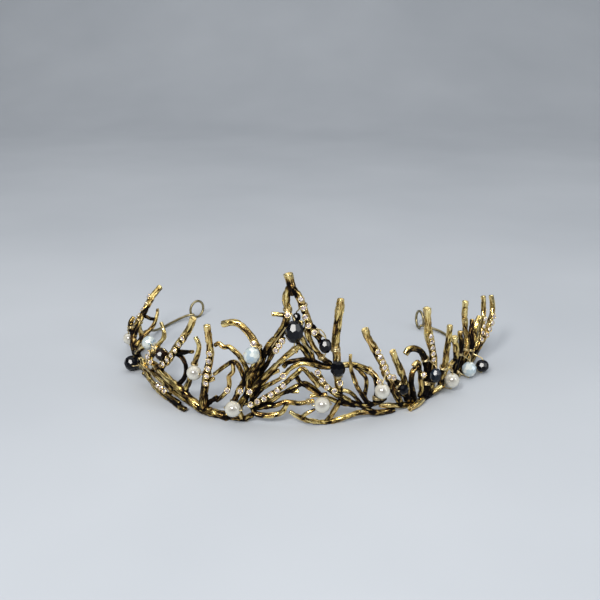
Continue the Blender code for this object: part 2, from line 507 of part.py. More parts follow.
def binding_path(name):
    """Path of the wire that runs through a bead and is turned in behind the twigs."""
    centre, axle = bead_axle(name)
    _, _, _, _, half, back, lie, _ = BEADS[name]
    inward = -outward(centre)
    ends = []
    for sign in (-1, 1):
        corner = centre + axle * sign * (half + BINDING_REACH) * MM
        rise = axle * (1.6 if sign > 0 and lie != "across" else 0.0) * MM
        turned_in = corner + inward * back * MM + rise
        ends.append([
            corner - axle * sign * 0.35 * MM,
            corner + inward * 0.35 * MM,
            turned_in - inward * 0.4 * MM,
            turned_in - axle * sign * 0.4 * MM,
            turned_in - axle * sign * 1.5 * MM - inward * 0.2 * MM,
        ])
    return list(reversed(ends[0])) + ends[1]


def binding_wire(name, grow=0.0):
    path = binding_path(name)
    if grow:
        path[0] += (path[0] - path[1]).normalized() * grow * MM
        path[-1] += (path[-1] - path[-2]).normalized() * grow * MM
    radius = (BINDING_RADIUS + grow) * MM
    return tube(name.replace("bead_", "") + "_wire", path, [radius] * len(path), 0)


def stone_row(name, grow=0.0):
    """Faceted stones standing on a thin setting strip."""
    controls, count = ROWS[name]
    path, _ = smooth_path([at(*c) for c in controls], 2.0 * MM)
    reach = [0.0]
    for a, b in zip(path, path[1:]):
        reach.append(reach[-1] + (b - a).length)
    solids = [tube(name, path, [(BED_RADIUS + grow) * MM] * len(path), 0)]
    for i in range(count):
        want = reach[-1] * (i + 0.5) / count
        k = max(j for j in range(len(path) - 1) if reach[j] <= want)
        share = (want - reach[k]) / (reach[k + 1] - reach[k])
        spot = path[k].lerp(path[k + 1], share)
        ahead = (path[k + 1] - path[k]).normalized()
        face = outward(spot) * 0.9 + Vector((0, 0, 0.45))
        face = (face - ahead * face.dot(ahead)).normalized()
        size = STONE_RADIUS + grow
        levels = ((-0.35 - grow, 0.7), (0.15, 1.0), (STONE_HEIGHT - 0.35 + grow, 0.6))
        solids.append(tube(name + "_stone", [spot + face * h * MM for h, _ in levels],
                           [size * w * MM for _, w in levels], 1))
    return solids


def joined(name, solids, cutters=()):
    """One mesh from the union of solids less the cutters; loose chips are dropped."""
    scene = bpy.context.scene.collection
    base = solids[0]
    scene.objects.link(base)
    groups = []
    for others, operation in ((solids[1:], "UNION"), (cutters, "DIFFERENCE")):
        if not others:
            continue
        group = bpy.data.collections.new(name + "_" + operation.lower())
        scene.children.link(group)
        for other in others:
            group.objects.link(other)
        step = base.modifiers.new(operation.title(), "BOOLEAN")
        step.operation = operation
        step.solver = "EXACT"
        step.operand_type = "COLLECTION"
        step.collection = group
        groups.append(group)
    graph = bpy.context.evaluated_depsgraph_get()
    graph.update()
    mesh = bpy.data.meshes.new_from_object(base.evaluated_get(graph), depsgraph=graph)
    for group in groups:
        for other in list(group.objects):
            bpy.data.objects.remove(other)
        bpy.data.collections.remove(group)
    bpy.data.objects.remove(base)
    bm = bmesh.new()
    bm.from_mesh(mesh)
    bmesh.ops.remove_doubles(bm, verts=bm.verts, dist=0.000001)
    bmesh.ops.triangulate(bm, faces=bm.faces)
    keep_largest(bm)
    bm.to_mesh(mesh)
    bm.free()
    return bpy.data.objects.new(name, mesh)


def keep_largest(bm):
    """Drops every connected part of a mesh but the one with most faces."""
    left = set(bm.faces)
    parts = []
    while left:
        todo = [left.pop()]
        part = set(todo)
        while todo:
            face = todo.pop()
            for edge in face.edges:
                for other in edge.link_faces:
                    if len(edge.link_faces) == 2 and other in left:
                        left.discard(other)
                        part.add(other)
                        todo.append(other)
        parts.append(part)
    biggest = max(parts, key=len)
    extra = [face for part in parts if part is not biggest for face in part]
    bmesh.ops.delete(bm, geom=extra, context="FACES")


def below_the_plane():
    """Block that trims the feet flat on the resting plane."""
    bm = bmesh.new()
    bmesh.ops.create_cube(bm, size=1.0)
    bmesh.ops.scale(bm, vec=(0.3, 0.3, 0.02), verts=bm.verts)
    bmesh.ops.translate(bm, vec=(0, 0, -0.01), verts=bm.verts)
    mesh = bpy.data.meshes.new("below_the_plane")
    bm.to_mesh(mesh)
    bm.free()
    return bpy.data.objects.new("below_the_plane", mesh)


def sprig(name):
    """One casting: its twigs as one body, trimmed clear of everything fastened to it."""
    solids = [twig(name, spec) for spec in SPRIGS[name]]
    cutters = [below_the_plane()]
    for other in list(SPRIGS)[:list(SPRIGS).index(name)]:
        cutters += [twig(other, spec, GAP) for spec in SPRIGS[other]]
    for other in BEADS:
        room = bead_room(other)
        place_on_axle(room, other)
        cutters.append(room)
        cutters.append(binding_wire(other, GAP))
    for other in ROWS:
        cutters += stone_row(other, GAP - 0.05)
    cutters.append(end_wire("left", GAP))
    cutters.append(end_wire("right", GAP))
    return joined(name, solids, cutters)


def end_wire(side, grow=0.0):
    """Bendable wire from the end of the ring, closed into an upright eye loop."""
    controls = LEFT_WIRE if side == "left" else RIGHT_WIRE
    centre = at(*(LEFT_EYE if side == "left" else RIGHT_EYE))
    ahead = along(centre) * (-1 if side == "left" else 1)
    if side == "right":
        ahead = Matrix.Rotation(math.radians(-RIGHT_EYE_TWIST), 3, "Z") @ ahead
    beside = outward(centre) * (2 * END_WIRE_RADIUS + GAP) * MM
    loop = []
    for k in range(EYE_STEPS + 1):
        turn = math.radians(EYE_START + EYE_SWEEP * k / EYE_STEPS)
        loop.append(centre + beside * (k / EYE_STEPS)
                    + EYE_RADIUS * MM * (math.cos(turn) * ahead
                                         + math.sin(turn) * Vector((0, 0, 1))))
    path, _ = smooth_path([at(*c) for c in controls] + [loop[0]], 5.0 * MM)
    path += loop[1:]
    if grow:
        path[0] += (path[0] - path[1]).normalized() * grow * MM
    radius = (END_WIRE_RADIUS + grow) * MM
    return tube(side + "_end_wire", path, [radius] * len(path), 1)


def principled(name, key):
    colour, metallic, roughness, transmission = MATERIALS[key]
    material = bpy.data.materials.new(name)
    material.use_nodes = True
    shader = material.node_tree.nodes["Principled BSDF"]
    shader.inputs["Base Color"].default_value = colour
    shader.inputs["Metallic"].default_value = metallic
    shader.inputs["Roughness"].default_value = roughness
    shader.inputs["Transmission Weight"].default_value = transmission
    material.diffuse_color = colour
    material.metallic = metallic
    material.roughness = roughness
    return material


def finish(obj, collection, key, sharp=None):
    obj.data.materials.append(principled(obj.name + "_" + key, key))
    for face in obj.data.polygons:
        face.use_smooth = sharp != 0
    if sharp:
        obj.data.set_sharp_from_angle(angle=math.radians(sharp))
    collection.objects.link(obj)


def main():
    for obj in list(bpy.data.objects):
        bpy.data.objects.remove(obj)
    tiara = bpy.data.collections.new("twig_tiara")
    bpy.context.scene.collection.children.link(tiara)
    for name in SPRIGS:
        finish(sprig(name), tiara, "antique_gold", 50)
    for side in ("left", "right"):
        finish(end_wire(side), tiara, "pale_gold_wire", 60)
    for name, spec in BEADS.items():
        made = bead(name)
        place_on_axle(made, name)
        key = {"pearl": "pearl", "opal": "opal_glass", "black": "black_glass"}[spec[7]]
        finish(made, tiara, key, 45 if key == "pearl" else 0)
        finish(binding_wire(name), tiara, "pale_gold_wire", 70)
    for name in ROWS:
        finish(joined(name, stone_row(name)), tiara, "rhinestone", 0)


main()
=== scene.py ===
"""Looks of the twig tiara: grained antique gold castings, wired beads and set rhinestones.

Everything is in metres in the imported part's frame: +Z up, the front towards -Y, +X to the right.
A place is (station, height, out), as in the part: station is the angle in degrees round the ring
from the front, positive to the right; height is mm above the resting plane; out is mm outside
the ring's radius.  In a list, a place that gives no out has that of the place before it.  Each
piece rides on the CAD body of the node that it stands for.
"""

import json
import math

import bmesh
import bpy
import numpy as np
from mathutils import Matrix, Vector


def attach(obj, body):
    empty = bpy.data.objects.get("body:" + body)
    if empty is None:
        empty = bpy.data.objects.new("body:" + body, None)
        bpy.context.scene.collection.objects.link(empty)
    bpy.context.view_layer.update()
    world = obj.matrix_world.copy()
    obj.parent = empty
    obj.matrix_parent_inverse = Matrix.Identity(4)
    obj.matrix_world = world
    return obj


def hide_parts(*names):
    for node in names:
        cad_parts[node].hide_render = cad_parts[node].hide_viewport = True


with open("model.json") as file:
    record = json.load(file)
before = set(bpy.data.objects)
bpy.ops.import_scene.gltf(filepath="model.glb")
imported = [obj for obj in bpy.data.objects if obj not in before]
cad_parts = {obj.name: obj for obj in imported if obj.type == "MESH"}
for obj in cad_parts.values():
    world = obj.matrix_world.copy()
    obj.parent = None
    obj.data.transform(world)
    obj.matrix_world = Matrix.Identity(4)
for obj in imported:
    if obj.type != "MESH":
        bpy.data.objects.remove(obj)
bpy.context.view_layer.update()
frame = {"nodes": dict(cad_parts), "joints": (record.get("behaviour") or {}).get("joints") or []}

# ---------------------------------------------------------------- sizes, in mm unless named
MM = 0.001
RING_RADIUS = 70.0
RING_CENTRE = (-4.23, 17.59)

# The bark.  Each kind of unevenness has a length along the twig, a depth as a share of the
# twig's radius, and a relief: how far it lets the gilding be rubbed bright.
TWIG_STEP = 0.32
TWIG_SIDES = 22
TWIG_GIRTH = 1.05
CREASE_LENGTH, CREASE_DEPTH, CREASE_RELIEF, CREASE_EDGE = 4.5, 0.26, 0.75, 3.2
FINE_LENGTH, FINE_DEPTH, FINE_RELIEF = 1.3, 0.05, 0.35
LUMP_LENGTH, LUMP_DEPTH, LUMP_RELIEF = 2.6, 0.10, 0.3
KNOT_LENGTH, KNOT_DEPTH, KNOT_START = 3.4, 0.25, 0.45
BEND_LENGTH, BEND_DEPTH, BEND_FADE = 5.0, 0.16, 2.0
FLAT_RELIEF = 0.3
# Rings that close a twig: how far past its end, and how wide, as shares of the radius there.
TIP_CAP = [(0.125, 0.35), (0.275, 0.62), (0.45, 0.86), (0.375, 0.97), (0.15, 1.0)]
ROOT_CAP = [(0.3, 0.9), (0.5, 0.6), (0.6, 0.2)]
# What a point gains for facing up, a painted light from above; what it gains for lying near the
# tip, as wear; and what it loses near the root.
PAINTED_TOP_LIGHT = 0.30
TIP_POLISH, TIP_REACH = 0.42, 2.2
ROOT_SHADE = 0.80
# How near another twig must come before the gold is painted darker, a painted shade between twigs.
CROWD_SHADE_REACH = 0.8
BEAD_CLEARANCE = 0.3

# End wires.  The eye's start and sweep are in degrees.
END_WIRE_RADIUS, END_WIRE_SIDES = 0.6, 20
EYE_RADIUS, EYE_STEPS = 3.9, 44
EYE_START, EYE_SWEEP = 208, 362
EYE_GAP = 0.3
END_WIRE_STEP = 0.6
ROOT_REACH = 4.0

# Binding wires.  A wrap is counted in turns, and drawn with WRAP_STEPS points to a turn.
BINDING_RADIUS, BINDING_SIDES = 0.24, 8
BINDING_STEP = 0.22
BORE_RADIUS = 0.5
HOLE_LEAD = 0.35
WIRE_CLEARANCE = 0.20
TIE_CLEARANCE = 0.6
WRAP_TURNS, WRAP_PITCH, WRAP_STEPS = 2.25, 0.52, 10
# Loose turns of wire round the tall straight spike, this high up.
BAND_TURNS, BAND_STEPS, BAND_HEIGHT, BAND_WIDTH = 2, 12, 30.0, 1.10

# Pearls.  The dimple round the hole has a depth in mm and a width in radians.
PEARL_RINGS, PEARL_SIDES = 29, 48
DIMPLE_DEPTH, DIMPLE_WIDTH = 0.12, 0.10

# Rhinestones, and the weight of each direction (out of the ring, then +X, -Y and +Z) they face.
STONE_RADIUS = 1.02
CUP_RADIUS = 1.20
STONE_OUTWARD, STONE_FRONT = 0.6, (0.0, -0.45, 0.45)
STONE_TILT = 0.10
STONE_WEAR = 0.75
CUP_SIDES, PRONGS, PRONG_SIDES = 20, 4, 6

SEED = 20
UP = np.array([0.0, 0.0, 1.0])

# ---------------------------------------------------------------- eye and lights, in metres
# The viewpoint of someone sitting in front of the table, a little to the right.
EYE_PLACE = (0.01694, -0.31223, 0.13968)
EYE_PITCH, EYE_YAW = 19.33, 3.5
LENS, SENSOR = 48.0, 36.0

LEFT_PANE = (-0.25, -0.70, 0.62)
RIGHT_PANE = (-0.03, -0.74, 0.62)
PANE_SIZE = (0.15, 0.22)
LIGHTS_AIM = (0.0, -0.03, 0.02)
# name, place, size, watts, colour
LIGHTS = [("overhead", (0.05, 0.10, 1.20), (2.2, 1.8), 13.5, (1.0, 1.0, 1.0)),
          ("left_pane", LEFT_PANE, PANE_SIZE, 4.8, (1.0, 0.98, 0.95)),
          ("right_pane", RIGHT_PANE, PANE_SIZE, 3.4, (1.0, 0.98, 0.95)),
          ("side_window", (0.75, -0.35, 0.50), (0.22, 0.40), 1.4, (0.95, 0.98, 1.0))]
ROOM_COLOUR, ROOM_STRENGTH = (0.70, 0.76, 0.84, 1.0), 0.14

# ---------------------------------------------------------------- the beads' glass
TINTS = {"black": ("jet_cut_glass", (0.008, 0.009, 0.014)),
         "black_bead_left_wing": ("smoky_cut_glass", (0.035, 0.014, 0.010)),
         "black_bead_right_spike": ("slate_cut_glass", (0.040, 0.066, 0.105))}
# Belts of facets round each kind of cut bead: latitude, how many, and how far the belt is turned.
CUTS = {
    "opal": [(0, 12, 0), (26, 12, 0.5), (-26, 12, 0.5), (50, 12, 0), (-50, 12, 0),
             (71, 6, 0), (-71, 6, 0), (90, 1, 0), (-90, 1, 0)],
    "black": [(0, 9, 0), (34, 9, 0.5), (-34, 9, 0.5), (65, 9, 0), (-65, 9, 0), (90, 1, 0),
              (-90, 1, 0)],
}
# Beads that happen to lie with an edge, not a facet, towards the window.
TURNED_AWAY = ("black_bead_centre_right", "black_bead_right_wing", "opal_left_centre",
               "opal_right_end")

# ---------------------------------------------------------------- the cast sprigs
# Each twig is (control points from tip to root, tip radius, root radius) and, where it is darker
# or brighter than the others, a tone added to its wear.
BLACKENED = -0.85
SPRIGS = {}
SPRIGS["left_end_sprig"] = [
    # tall shoot leaning back from the end of the ring
    ([(-98.7, 25, -6), (-93.2, 20, -2.8), (-89.7, 15.5, -0.8), (-86, 12, 1), (-81, 8, 2),
      (-74, 4.5, 0.5), (-66, 1.8, -1.8)], 1.35, 1.45, -0.40),
    # second shoot on its inner side
    ([(-92, 17, -7), (-87, 15.5, -7.5), (-82.5, 12.5, -6), (-79.5, 9.5, -2),
      (-77, 6.5, 1)], 0.7, 1.1),
    # bridge between the two shoots
    ([(-90, 15, -1), (-88.5, 14.5, -4), (-86.5, 14.5, -7)], 0.8, 0.8, BLACKENED),
    # loop shoot in front
    ([(-53, 26.5, -5.5), (-51, 24.5), (-50.5, 21.5, -5), (-52.5, 18, -3.5), (-56, 12.5, -2.5),
      (-61.5, 7, -2), (-66, 2.5, -1.8)], 0.7, 1.2),
    # branch behind the opal
    ([(-62, 16.5, -4), (-66, 12, -2.5), (-71, 7.5, 0), (-75, 4.5, 1.5)], 0.9, 1.0),
    # cast knot on the outside
    ([(-84.5, 16.5, 2), (-84, 14.5, 3), (-83.5, 12), (-83, 9, 2)], 0.9, 1.5, BLACKENED),
    # base strand carrying the end wire
    ([(-95, 2.5, 0), (-88, 2, 1), (-80, 1.3), (-72, 1.0, -1), (-65.5, 1.0, -1.8),
      (-62, 1.6, -1)], 1.2, 1.4),
    # strut down from the tall shoot
    ([(-87, 12, 0.5), (-89, 7), (-91, 2.5)], 1.0, 1.1),
]

SPRIGS["left_wing_sprig"] = [
    # upper base strand ending in a rounded leaf end
    ([(-59.5, 8.5, -1), (-53, 11, 0), (-46.5, 11.5, 0.5), (-42, 9.5), (-37.5, 8), (-34, 6.5),
      (-30.5, 4), (-27, 1.8), (-23, 1.5), (-18, 1.2)], 1.1, 1.75),
    # lower base strand
    ([(-61, 8, 0), (-58, 5), (-52.5, 2.5), (-48.5, 1.2), (-43, 0.8, 0.4), (-37, 0.9, 1.8),
      (-32, 1.1, 3.2)], 1.1, 1.1),
    # cross twig between the base strands
    ([(-43, 1, 0), (-40.5, 4), (-36.5, 8)], 0.8, 0.8),
    # small rung nearer the end
    ([(-56, 4, 0), (-53, 7), (-49, 11, 0.3)], 0.7, 0.8),
    # thin strand between the base strands
    ([(-57, 5, -0.5), (-52, 7, -0.8), (-46, 7), (-40, 5, -0.6), (-34, 2.8, -0.4),
      (-29, 2, 0)], 0.65, 0.8),
    # strand below the middle of the base
    ([(-60, 6.6, 0.8), (-55, 5.4, 1), (-50, 4), (-45, 3), (-40, 2.3, 1.3),
      (-35, 1.9, 2)], 0.75, 0.9),
    # strand under the upper base strand
    ([(-56.5, 7.2, 0.8), (-50, 7.8, 1), (-45, 7), (-40, 5.2, 0.8), (-35, 3.6),
      (-31, 2.3, 0.6)], 0.7, 0.85),
    # long diagonal spike
    ([(-28.5, 37.5, 1), (-30, 33.5), (-32, 30), (-35, 25.5), (-38.5, 20.5), (-41.5, 16.5),
      (-46.5, 11.5, 0.5)], 1.2, 1.5),
    # dark side twig
    ([(-30, 24, 0), (-33, 23), (-37.5, 21.5)], 0.7, 1.0, BLACKENED),
    # arch down to the base strand
    ([(-38, 21, 0), (-34.5, 20), (-33, 16.5), (-34, 12), (-37, 8)], 0.8, 0.9, BLACKENED),
    # thorn behind the pearl
    ([(-28.5, 30, 0), (-27.5, 27.5), (-28, 24), (-29, 20.5), (-31, 14.5), (-33, 9),
      (-34, 6)], 0.75, 1.2),
    # upright spike
    ([(-23.5, 36, 1), (-23, 30), (-23, 24.5), (-24, 18.5), (-24.8, 14), (-25.5, 8.5),
      (-26.5, 2.2, 0.5)], 1.2, 1.6),
    # small knob on the upright spike
    ([(-22.3, 15.5, 0.5), (-23.3, 15, 0.8), (-24.6, 14.5, 1)], 0.8, 0.9),
    # fill behind the foot of the upright spike
    ([(-22, 7.5, -0.5), (-24, 5.5, -0.3), (-27, 2.5, 0)], 0.9, 1.1, BLACKENED),
]

SPRIGS["left_centre_sprig"] = [
    # outer arc, tip beside the upright spike
    ([(-21.3, 29, 0.5), (-20, 30), (-18.3, 29), (-16.7, 29.3), (-15, 28), (-13, 25.5),
      (-11.7, 22.5), (-11.3, 19.5), (-12.5, 15.5), (-15, 10), (-16.5, 4.5, 0.3)], 0.8, 1.15),
    # inner arc
    ([(-22.3, 17, -0.5), (-20.5, 19), (-18.5, 21), (-16.5, 23), (-15, 23), (-14, 21.5),
      (-12.3, 17, 0)], 0.75, 0.85),
    # zigzag twig
    ([(-16.2, 22.8, -0.5), (-16, 19.5), (-17.5, 17), (-17.5, 14.5), (-18, 11.5), (-20, 8.5),
      (-22, 6.3)], 0.75, 0.85),
    # hooked shoot curling over to the left
    ([(-18, 38, 1), (-15.5, 39), (-13, 38.5), (-10.5, 36), (-8.6, 32.5), (-7.5, 29), (-8, 25.5),
      (-9.5, 22), (-10.8, 18), (-11, 13.5, 0.5), (-12.5, 9, 0), (-15, 4.5)], 1.2, 1.35),
    # foot strand along the base
    ([(-19.5, 0.9, -0.2), (-17, 0.8, 0), (-15, 0.75), (-12.5, 1.2), (-10.2, 3)], 1.0, 1.0),
    # foot touching the resting plane
    ([(-13.4, 1.4, 0), (-14.2, 3.5), (-15.5, 6.5)], 0.9, 1.0),
    # low strand towards the centre
    ([(-10, 7.5, 0), (-12.5, 7.5), (-16, 6.5)], 0.8, 0.9),
]

SPRIGS["peak_sprig"] = [
    # blunt tip of the peak
    ([(1.1, 57.2, 0), (1.7, 54), (2.4, 50.8)], 1.55, 1.5),
    # left leg running down to the lattice
    ([(1.8, 53, 0), (0.7, 51.2), (0.4, 48), (0.8, 44), (0, 39.5), (-1.5, 36), (-4, 32),
      (-6, 28, -0.5), (-7.7, 22.5, -1), (-9, 17), (-9.7, 11)], 1.3, 1.15),
    # side stub
    ([(-3.5, 43, 0), (-1.5, 43), (0.6, 42.5)], 0.75, 0.85),
    # right leg
    ([(2.3, 52.5, 0), (4, 49.6), (5.2, 46), (6.1, 43), (6.8, 40), (8, 37), (9.8, 34.3)], 1.3, 1.2),
    # thin outer strand
    ([(6.3, 40.5, 0), (8.2, 38.5), (9.3, 35.5), (10.3, 32)], 0.7, 0.8),
    # long strand down to the right
    ([(6.6, 40.5, -0.4), (6.5, 36, -0.3), (7.7, 32, 0.2), (9.5, 28.5, 0.4), (11.5, 25.5),
      (13.2, 24, 0)], 1.05, 0.95),
    # inner strand crossing behind
    ([(1, 37.5, -0.5), (2.7, 34.5), (4.3, 31), (5.7, 28.5), (7.2, 25.8)], 0.9, 0.85),
    # second inner strand
    ([(4.6, 40, -0.5), (4, 36.5), (5.5, 32.5), (7.5, 28.5), (8.3, 25)], 0.9, 0.8),
    # inner left strand beside the stones
    ([(1, 41.5, 0.3), (-0.8, 36.5), (-2, 33.5, 0), (-3.6, 31), (-5.2, 27.5, -0.5)], 0.8, 0.8),
    # dark strand behind the left leg
    ([(-0.8, 35.5, -1.3), (-3, 29.5, -1.8), (-5, 24.5), (-7.8, 18.5, -1.4)], 0.9, 0.9, BLACKENED),
    # bar under the black bead
    ([(-1.5, 36.5, -0.5), (1.5, 36.5, -1), (5, 37.5, -0.5)], 1.0, 1.0, BLACKENED),
    # dark arc closing the foot of the peak
    ([(-0.5, 22.8, -1.2), (1, 24.3), (4.5, 25.3, -1), (6.5, 25.7, -0.8), (8.5, 24.7, -1),
      (10.5, 23.4), (12.4, 22.4)], 0.9, 0.9, BLACKENED),
]

SPRIGS["centre_lattice_sprig"] = [
    # broad strand rising to the middle
    ([(4, 31.5, 1.5), (1, 28.5), (-1.5, 25.5), (-4.5, 21.5), (-7, 18, 1.2), (-9.5, 13.5, 1),
      (-10, 9, 0.5)], 1.0, 1.15),
    # thin strand under it
    ([(-2, 21.7, 0.3), (-4.5, 20), (-6.5, 17), (-8.5, 13.5, 0.5)], 0.7, 0.9),
    # third strand
    ([(-0.3, 20.7, 0.5), (-1.5, 18.5), (-4.5, 16.3), (-7, 14), (-9.5, 10)], 0.7, 0.9),
    # jewelled strand rising to the crest and falling to the right
    ([(9.5, 16, 1.2), (8, 18.5), (6.7, 20.8), (5, 22.8), (3.3, 21), (1.5, 19), (-0.3, 16.8),
      (-2.3, 14.3), (-5, 11.8), (-8, 9.3, 1), (-10.5, 7, 0.5)], 0.8, 1.05),
    # strand to the short stub
    ([(3.7, 13.6, 0), (0.7, 13.4), (-1.5, 12), (-4, 9.5), (-6.5, 7.7), (-9, 6.5)], 0.8, 1.0),
    # strand rising over and falling to the right
    ([(10, 12.5, 0), (8, 15.2), (5.7, 16.8), (4, 16), (2.5, 15), (0.5, 13.4)], 0.8, 0.9),
    # low strand to the pearl
    ([(8.3, 9.5, 0), (4.5, 9.1, 0.3), (2, 9.4, 0.5), (0, 9.3), (-3, 8), (-6, 7.3),
      (-8.5, 6.3, 0.3)], 0.85, 1.0),
    # base strand turned up at its end
    ([(0.6, 8.6, 0), (-0.5, 6), (-2, 4.4), (-5, 3.4), (-7.6, 3.4), (-9.3, 4.2),
      (-10, 7)], 0.9, 1.1),
    # gold arc over the middle
    ([(0.3, 20.8, 0.5), (1.5, 22.7, 0.9), (3.3, 24.2, 1), (5.2, 24.8), (7.5, 24.3), (9.7, 23.4),
      (11.5, 22.9), (12.9, 22.8)], 0.85, 0.75),
    # short strand below the crest
    ([(12, 12.3, 0.5), (10, 12.6), (8, 14.2), (6, 15.8), (4.3, 17.2), (3, 20.3, 0.8)], 0.75, 0.85),
]

SPRIGS["right_centre_sprig"] = [
    # tall straight spike
    ([(16, 47.5, 0), (15.6, 43.5), (15.1, 39), (14.7, 33), (14.7, 29), (15, 25.5), (15.4, 22),
      (15.6, 18), (16, 12)], 1.5, 1.3),
    # sharp thorn curving into the base
    ([(19, 27, 1), (19, 24.5), (19.2, 21.5), (20, 18.5), (21.2, 14.5), (22.7, 11), (24.3, 8, 0.8),
      (26, 5.5, 0.5)], 0.55, 1.1),
    # broad arch to the right
    ([(14.7, 22.3, -0.5), (17.5, 22.8), (20.5, 22.5), (23, 21), (26, 18.7), (28.2, 15.5),
      (28.6, 11), (28, 6, 0)], 1.1, 1.2),
    # inner arch
    ([(20.7, 22, -0.5), (22.5, 19.5), (24.5, 16.5), (25, 13.7), (24, 9.5, 0)], 0.75, 0.8),
    # jewelled strand from the crest down to the base
    ([(9.2, 22, 1.5), (10.2, 20), (11.1, 17.5), (12.5, 15, 1.2), (14, 13, 1), (16.5, 11, 0.8),
      (19, 8.5, 0.5)], 0.85, 1.0),
    # second strand from the crest, behind the pearl
    ([(7.5, 20.3, -0.4), (9.4, 17.6), (11.6, 15), (14, 12.7, -0.3), (17, 10, 0),
      (20, 7.9, 0.3)], 0.8, 0.95),
    # low strand behind the pearl
    ([(7.6, 11.3, -0.8), (10.5, 11), (13.5, 9.6, -0.6), (17, 7.6, -0.2),
      (21, 6.4, 0.2)], 0.75, 0.9),
    # upper base strand
    ([(13.3, 13.3, -0.5), (16, 10.8, 0), (19, 8.3, 0.3), (23, 6.2, 0.5), (27.5, 6),
      (31, 7, 0.3)], 0.85, 1.1),
    # short twig over the base strand
    ([(16.2, 13.2, 0), (19, 12), (21, 9.7, 0.3), (22.5, 7, 0.5)], 0.75, 0.8),
    # lower base strand
    ([(1.5, 5.3, 0.5), (4.5, 3.2), (7.5, 1.6, 0.3), (12.5, 0.75, 0), (17.5, 2), (22.5, 3), (27, 2),
      (31, 1.1), (34.5, 1.1)], 0.85, 1.15),
    # stub crossing the lower strand
    ([(4.8, 3.4, 0.5), (6.5, 5), (8.5, 6.3)], 0.75, 0.7),
    # tie between the strands
    ([(12.4, 1.2, 0), (14.5, 5), (16.8, 9.8, 0.3)], 0.9, 0.9),
    # tie at the right foot
    ([(22.5, 6.5, 0.5), (24.5, 4.5, 0), (27, 2.6)], 0.8, 0.9),
]

SPRIGS["right_wing_sprig"] = [
    # jewelled spike leaning to the left
    ([(23.5, 35.5, 0.5), (25, 31.5), (26.8, 28), (28.5, 24), (30, 20.3), (31.3, 16.5, 0.3),
      (33, 12.3, 0), (35, 7.5), (37, 3.5)], 1.35, 1.35),
    # dark twig beside it
    ([(30.6, 17.5, 0), (33.5, 14.5, -0.5), (36.5, 11), (39, 7, 0)], 0.85, 1.0, BLACKENED),
    # plain spike
    ([(33.5, 24.7, 0), (35, 21), (36.8, 16.5), (38.3, 12), (39.3, 8), (40, 3.5)], 1.3, 1.35),
    # closed loop twig, left side
    ([(44.2, 15.5, -0.5), (42.2, 14), (41.7, 11), (42.1, 7.5), (43, 3, 0)], 1.0, 1.25, BLACKENED),
    # closed loop twig, right side
    ([(43.4, 15.5, -0.5), (45.8, 13), (46.4, 9.5), (46.6, 6, 0), (46, 2.5)], 0.9, 1.0),
    # hooked head of the loop twig
    ([(42, 17, 0.2), (43.4, 17.9, 0), (44.9, 16.9, -0.3), (45.4, 14.3, -0.5)], 0.75, 0.9),
    # curved branch behind the jewelled spike
    ([(39.5, 22.3, -1), (40.8, 23.5), (44.3, 22.3), (47.3, 19.3), (49.2, 15.5), (50, 11),
      (49.5, 6, -0.5), (48, 2.5, 0)], 1.1, 1.4, BLACKENED),
    # second jewelled spike
    ([(46.5, 38, 0.5), (47, 33.5), (48.3, 27.5), (50, 21.5), (51.3, 16), (51.8, 10),
      (51, 5.5, 0.3), (49.5, 2, 0)], 1.5, 1.5),
    # base strand
    ([(30, 4.2, -0.4), (33, 3.2, -0.2), (36, 2.2, 0), (40, 1.3), (44.5, 0.8), (49, 0.9),
      (53, 1.8)], 0.95, 1.2),
    # low stub in front of the base
    ([(39.3, 1.1, 2.8), (42, 1.2, 2.4), (45, 1.5, 1.5), (47.5, 1.4, 0.5)], 1.1, 1.1),
    # diagonal across the wing
    ([(31.8, 15, 0), (34.5, 10.5, -0.5), (38, 6.5, 0), (42, 2.5)], 0.8, 1.1),
    # right-hand stub of the base
    ([(55, 3.5, 2), (52.5, 2.6, 1.5), (49.5, 1.8, 0.5)], 0.8, 1.0),
]

SPRIGS["right_end_sprig"] = [
    # flat brown shoot
    ([(55.5, 29, 4), (55.5, 25.5, 3.8), (55, 20.5), (54.8, 14.5, 3.4), (55.5, 9, 1.8),
      (57.5, 3, 0.3)], 1.1, 1.3),
    # bud
    ([(64.7, 19.7, 1.3), (64.8, 18.3, 1.5), (65.3, 15.5, 2), (66, 9), (67, 3, 0.8)], 1.6, 0.8),
    # dark shoot
    ([(68, 21, 2.5), (67.7, 16, 3.3), (67.3, 10, 2.5), (67.5, 3, 1)], 1.1, 1.2, BLACKENED),
    # straight round shoot
    ([(77, 30, 2), (77, 25), (76.7, 19, 2.6), (75.3, 12.5, 4), (73.3, 7, 3.2),
      (72, 1.6, 2.2)], 1.2, 1.2),
    # broad double shoot, light half
    ([(82.5, 21.3, 8), (81, 18.5, 7), (79.5, 14.5, 6.4), (77.2, 11, 6), (75.3, 7, 5),
      (74.3, 1.8, 3.6)], 1.1, 1.2, -0.35),
    # broad double shoot, dark half
    ([(80, 21, 5), (78.8, 17.5), (77.5, 13.5, 5.2), (76, 9.5, 5)], 0.9, 1.0, BLACKENED),
    # jewelled shoot
    ([(87, 28.3, 9.5), (86.5, 23.5, 10), (85.5, 19.5), (84, 14.5, 9.4), (81.5, 11, 8.4),
      (79.2, 6.5, 6.6), (78, 1.8, 5)], 1.05, 1.2, 0.15),
    # outer jewelled shoot
    ([(90, 27.3, 13.5), (89.5, 23.5, 14), (88.5, 20), (87.3, 16.5, 13), (85.2, 13, 11.5),
      (82.5, 9, 9.3), (81, 5, 7.2), (80.5, 1.8, 5.6)], 1.0, 1.2, 0.15),
    # base strand carrying the end wire
    ([(53.6, 1.9, 0.1), (57, 1.7, 0.2), (61, 1.3, -0.4), (66, 0.9, 0.3), (71, 0.9, 1.8),
      (76, 1.2, 4.2), (82, 2, 6), (88, 2.8, 5.6), (93, 3.2, 4.2)], 1.2, 1.2),
    # brace inside
    ([(57.5, 4, 1), (61.5, 7.5, 0.5), (65.8, 10, 2)], 0.9, 0.9),
]

